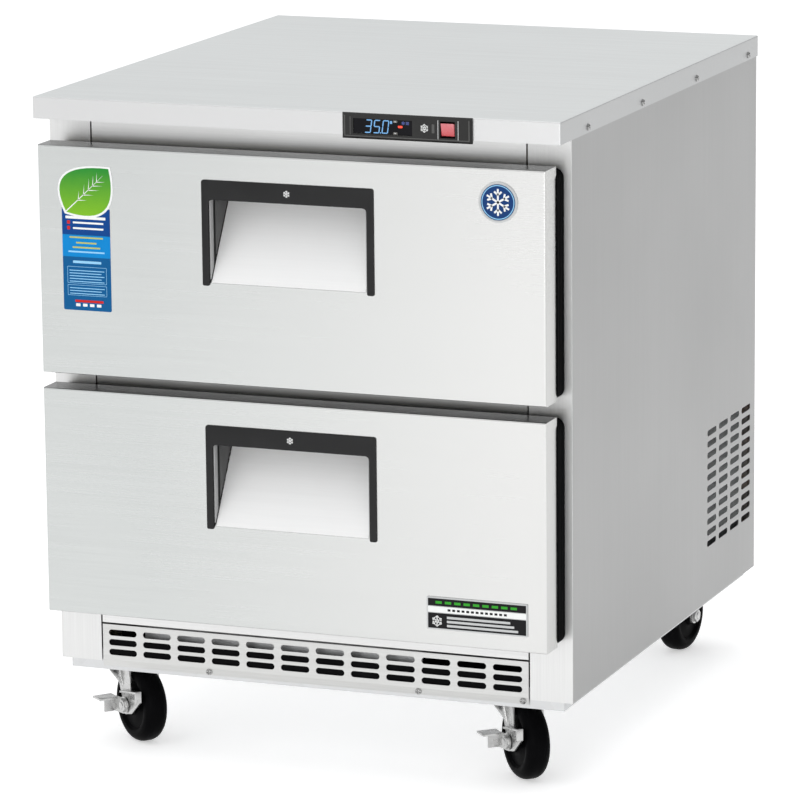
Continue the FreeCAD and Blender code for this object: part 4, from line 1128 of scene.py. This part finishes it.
def makeLouvres():
    cover = corners("machine_cover")
    form = louvreHood()
    places = [(x, cover[1][1], louvre["first"] + louvre["pitch"] * r) for x in louvre["columns"]
              for r in range(louvre["rows"])]
    # turned to face +Y with its own up along Z
    rig = Rig("louvre_hoods", {"Form": form, "Turn": (math.radians(90), 0, math.radians(180))})
    copies = rig.node("InstanceOnPoints",
                      {"Points": rig.inputs["Geometry"], "Instance": rig.form("Form"),
                       "Rotation": rig.inputs["Turn"]})
    rig.end(copies, galvanised)
    rig.run(pointCloud(places), "louvre_hoods", "cabinet")
    bpy.data.objects.remove(form)


def makeGland():
    low, high = corners("power_inlet")
    x, z, y = (low[0] + high[0]) / 2, (low[2] + high[2]) / 2, corners("machine_cover")[1][1]
    shape = Shape()
    shape.prism(arc((x, z), 15.2, 0, 300, 5), "y", y + 0.3, y + 6.0, glandPlastic, 0.8, 2)
    for i in range(5):  # rings that narrow outward
        r = 10.6 - 0.8 * i
        ring = [(3.8, 0), (r, 0), (r, 1.6), (r - 0.8, 2.2), (3.8, 2.2)]
        shape.turned(ring, (x, y + 6.5 + 2.3 * i, z), (0, 1, 0), glandPlastic, 32)
    sleeve = [(3.7, -15.0), (10.4, -15.0), (10.4, 0.4), (3.7, 0.4)]
    shape.turned(sleeve, (x, y, z), (0, 1, 0), glandPlastic, 32)
    shape.piece("cord_gland", "cabinet", "gland", ("power_inlet",))


makeLouvres()
makeGland()
print("machine bay and back made")


# slide balls, and the painted-shade baffle behind the grille
ball = {"radius": 1.0, "pitch": 9.0}
shadeBaffle = {"half": 287.0, "sheetLow": 114.5, "sheetHigh": 138.9, "depth": 34.0, "low": 130.0, "high": 160.0,
        "wall": 1.2}


def makeBalls(level):
    low, high = corners(level + "_slide_members")
    places = []
    for side in (-1, 1):
        x = side * (high[0] - 5.0)
        for z in (high[2] + 0.95, low[2] - 0.95):
            count = int((high[1] - low[1] - 30) / ball["pitch"])
            places += [(x, low[1] + 15 + i * ball["pitch"], z) for i in range(count)]
    rig = Rig(level + "_slide_balls", {"Ball": ball["radius"] * mm})
    sphere = rig.node("MeshIcoSphere", {"Radius": rig.inputs["Ball"], "Subdivisions": 2})
    copies = rig.node("InstanceOnPoints", {"Points": rig.inputs["Geometry"], "Instance": sphere})
    rig.end(copies, slideZinc)
    rig.run(pointCloud(places), level + "_slide_balls", level + "_slides", angle=80)


makeBalls("upper")
makeBalls("lower")


def makeShadeBaffle():  # a black sheet right behind the grille's slots, and an open channel farther back, both black as painted shade that keeps the slots dark
    near = corners("kick_grille")[1][1] + 10
    front = corners("frame_sill")[0][1]
    half, low, high, wall = (shadeBaffle[key] for key in ("half", "low", "high", "wall"))
    back = near - 10 + shadeBaffle["depth"]
    shape = Shape()
    shape.prism(rectangle(front + 1.6, front + 2.2, shadeBaffle["sheetLow"], shadeBaffle["sheetHigh"]), "x", -half, half,
                gasketRubber)
    shape.prism([(near, low), (back, low), (back, high), (near, high), (near, high - wall),
                 (back - wall, high - wall), (back - wall, low + wall), (near, low + wall)],
                "x", 1 - half, half - 1, gasketRubber, 0.3, 1)
    shape.piece("air_duct", "cabinet", "black_paint")


makeShadeBaffle()
print("slides and duct made")


# floor and light
def makeStudio():
    def cloudy(g):
        return {"Base Color": g.mix(g.noise(0.8, 2.0), (0.93, 0.93, 0.93), (0.97, 0.97, 0.97)),
                "Emission Color": (0.9, 0.9, 0.9, 1)}

    paper = finish("studio floor", cloudy, Roughness=0.9, Emission_Strength=0.53)
    mesh = bpy.data.meshes.new("floor")
    mesh.from_pydata([(-14, -14, 0), (14, -14, 0), (14, 14, 0), (-14, 14, 0)], [], [(0, 1, 2, 3)])
    mesh.materials.append(paper)
    linked("floor", mesh)

    world = bpy.data.worlds.new("studio")
    world.use_nodes = True
    g = Graph(world.node_tree)
    way = g.node("TexCoord", output="Generated")
    x = g.node("SeparateXYZ", {"Vector": way}, "X")
    shade = g.mix(g.ramp(x, 0.15, 0.8), (0.80, 0.805, 0.81), (0.36, 0.36, 0.365))
    light = g.node("Background", {"Color": shade, "Strength": 1.0})
    g.node("OutputWorld", {"Surface": light})
    bpy.context.scene.world = world
    bpy.context.scene.view_settings.view_transform = "Standard"

    lamps = {"key": {"place": (-2.4, -4.2, 3.4), "size": 3.0, "power": 12},
             "fill": {"place": (0.6, -5.2, 0.75), "size": 1.4, "power": 26},
             "top": {"place": (0.2, -0.2, 4.2), "size": 3.4, "power": 22}}
    for name, spec in lamps.items():
        lamp = bpy.data.lights.new(name, "AREA")
        lamp.size, lamp.energy = spec["size"], spec["power"]
        aim = (Vector((0, 0, 0.45)) - Vector(spec["place"])).to_track_quat("-Z", "Y")
        linked(name, lamp).matrix_world = Matrix.Translation(spec["place"]) @ aim.to_matrix().to_4x4()


makeStudio()
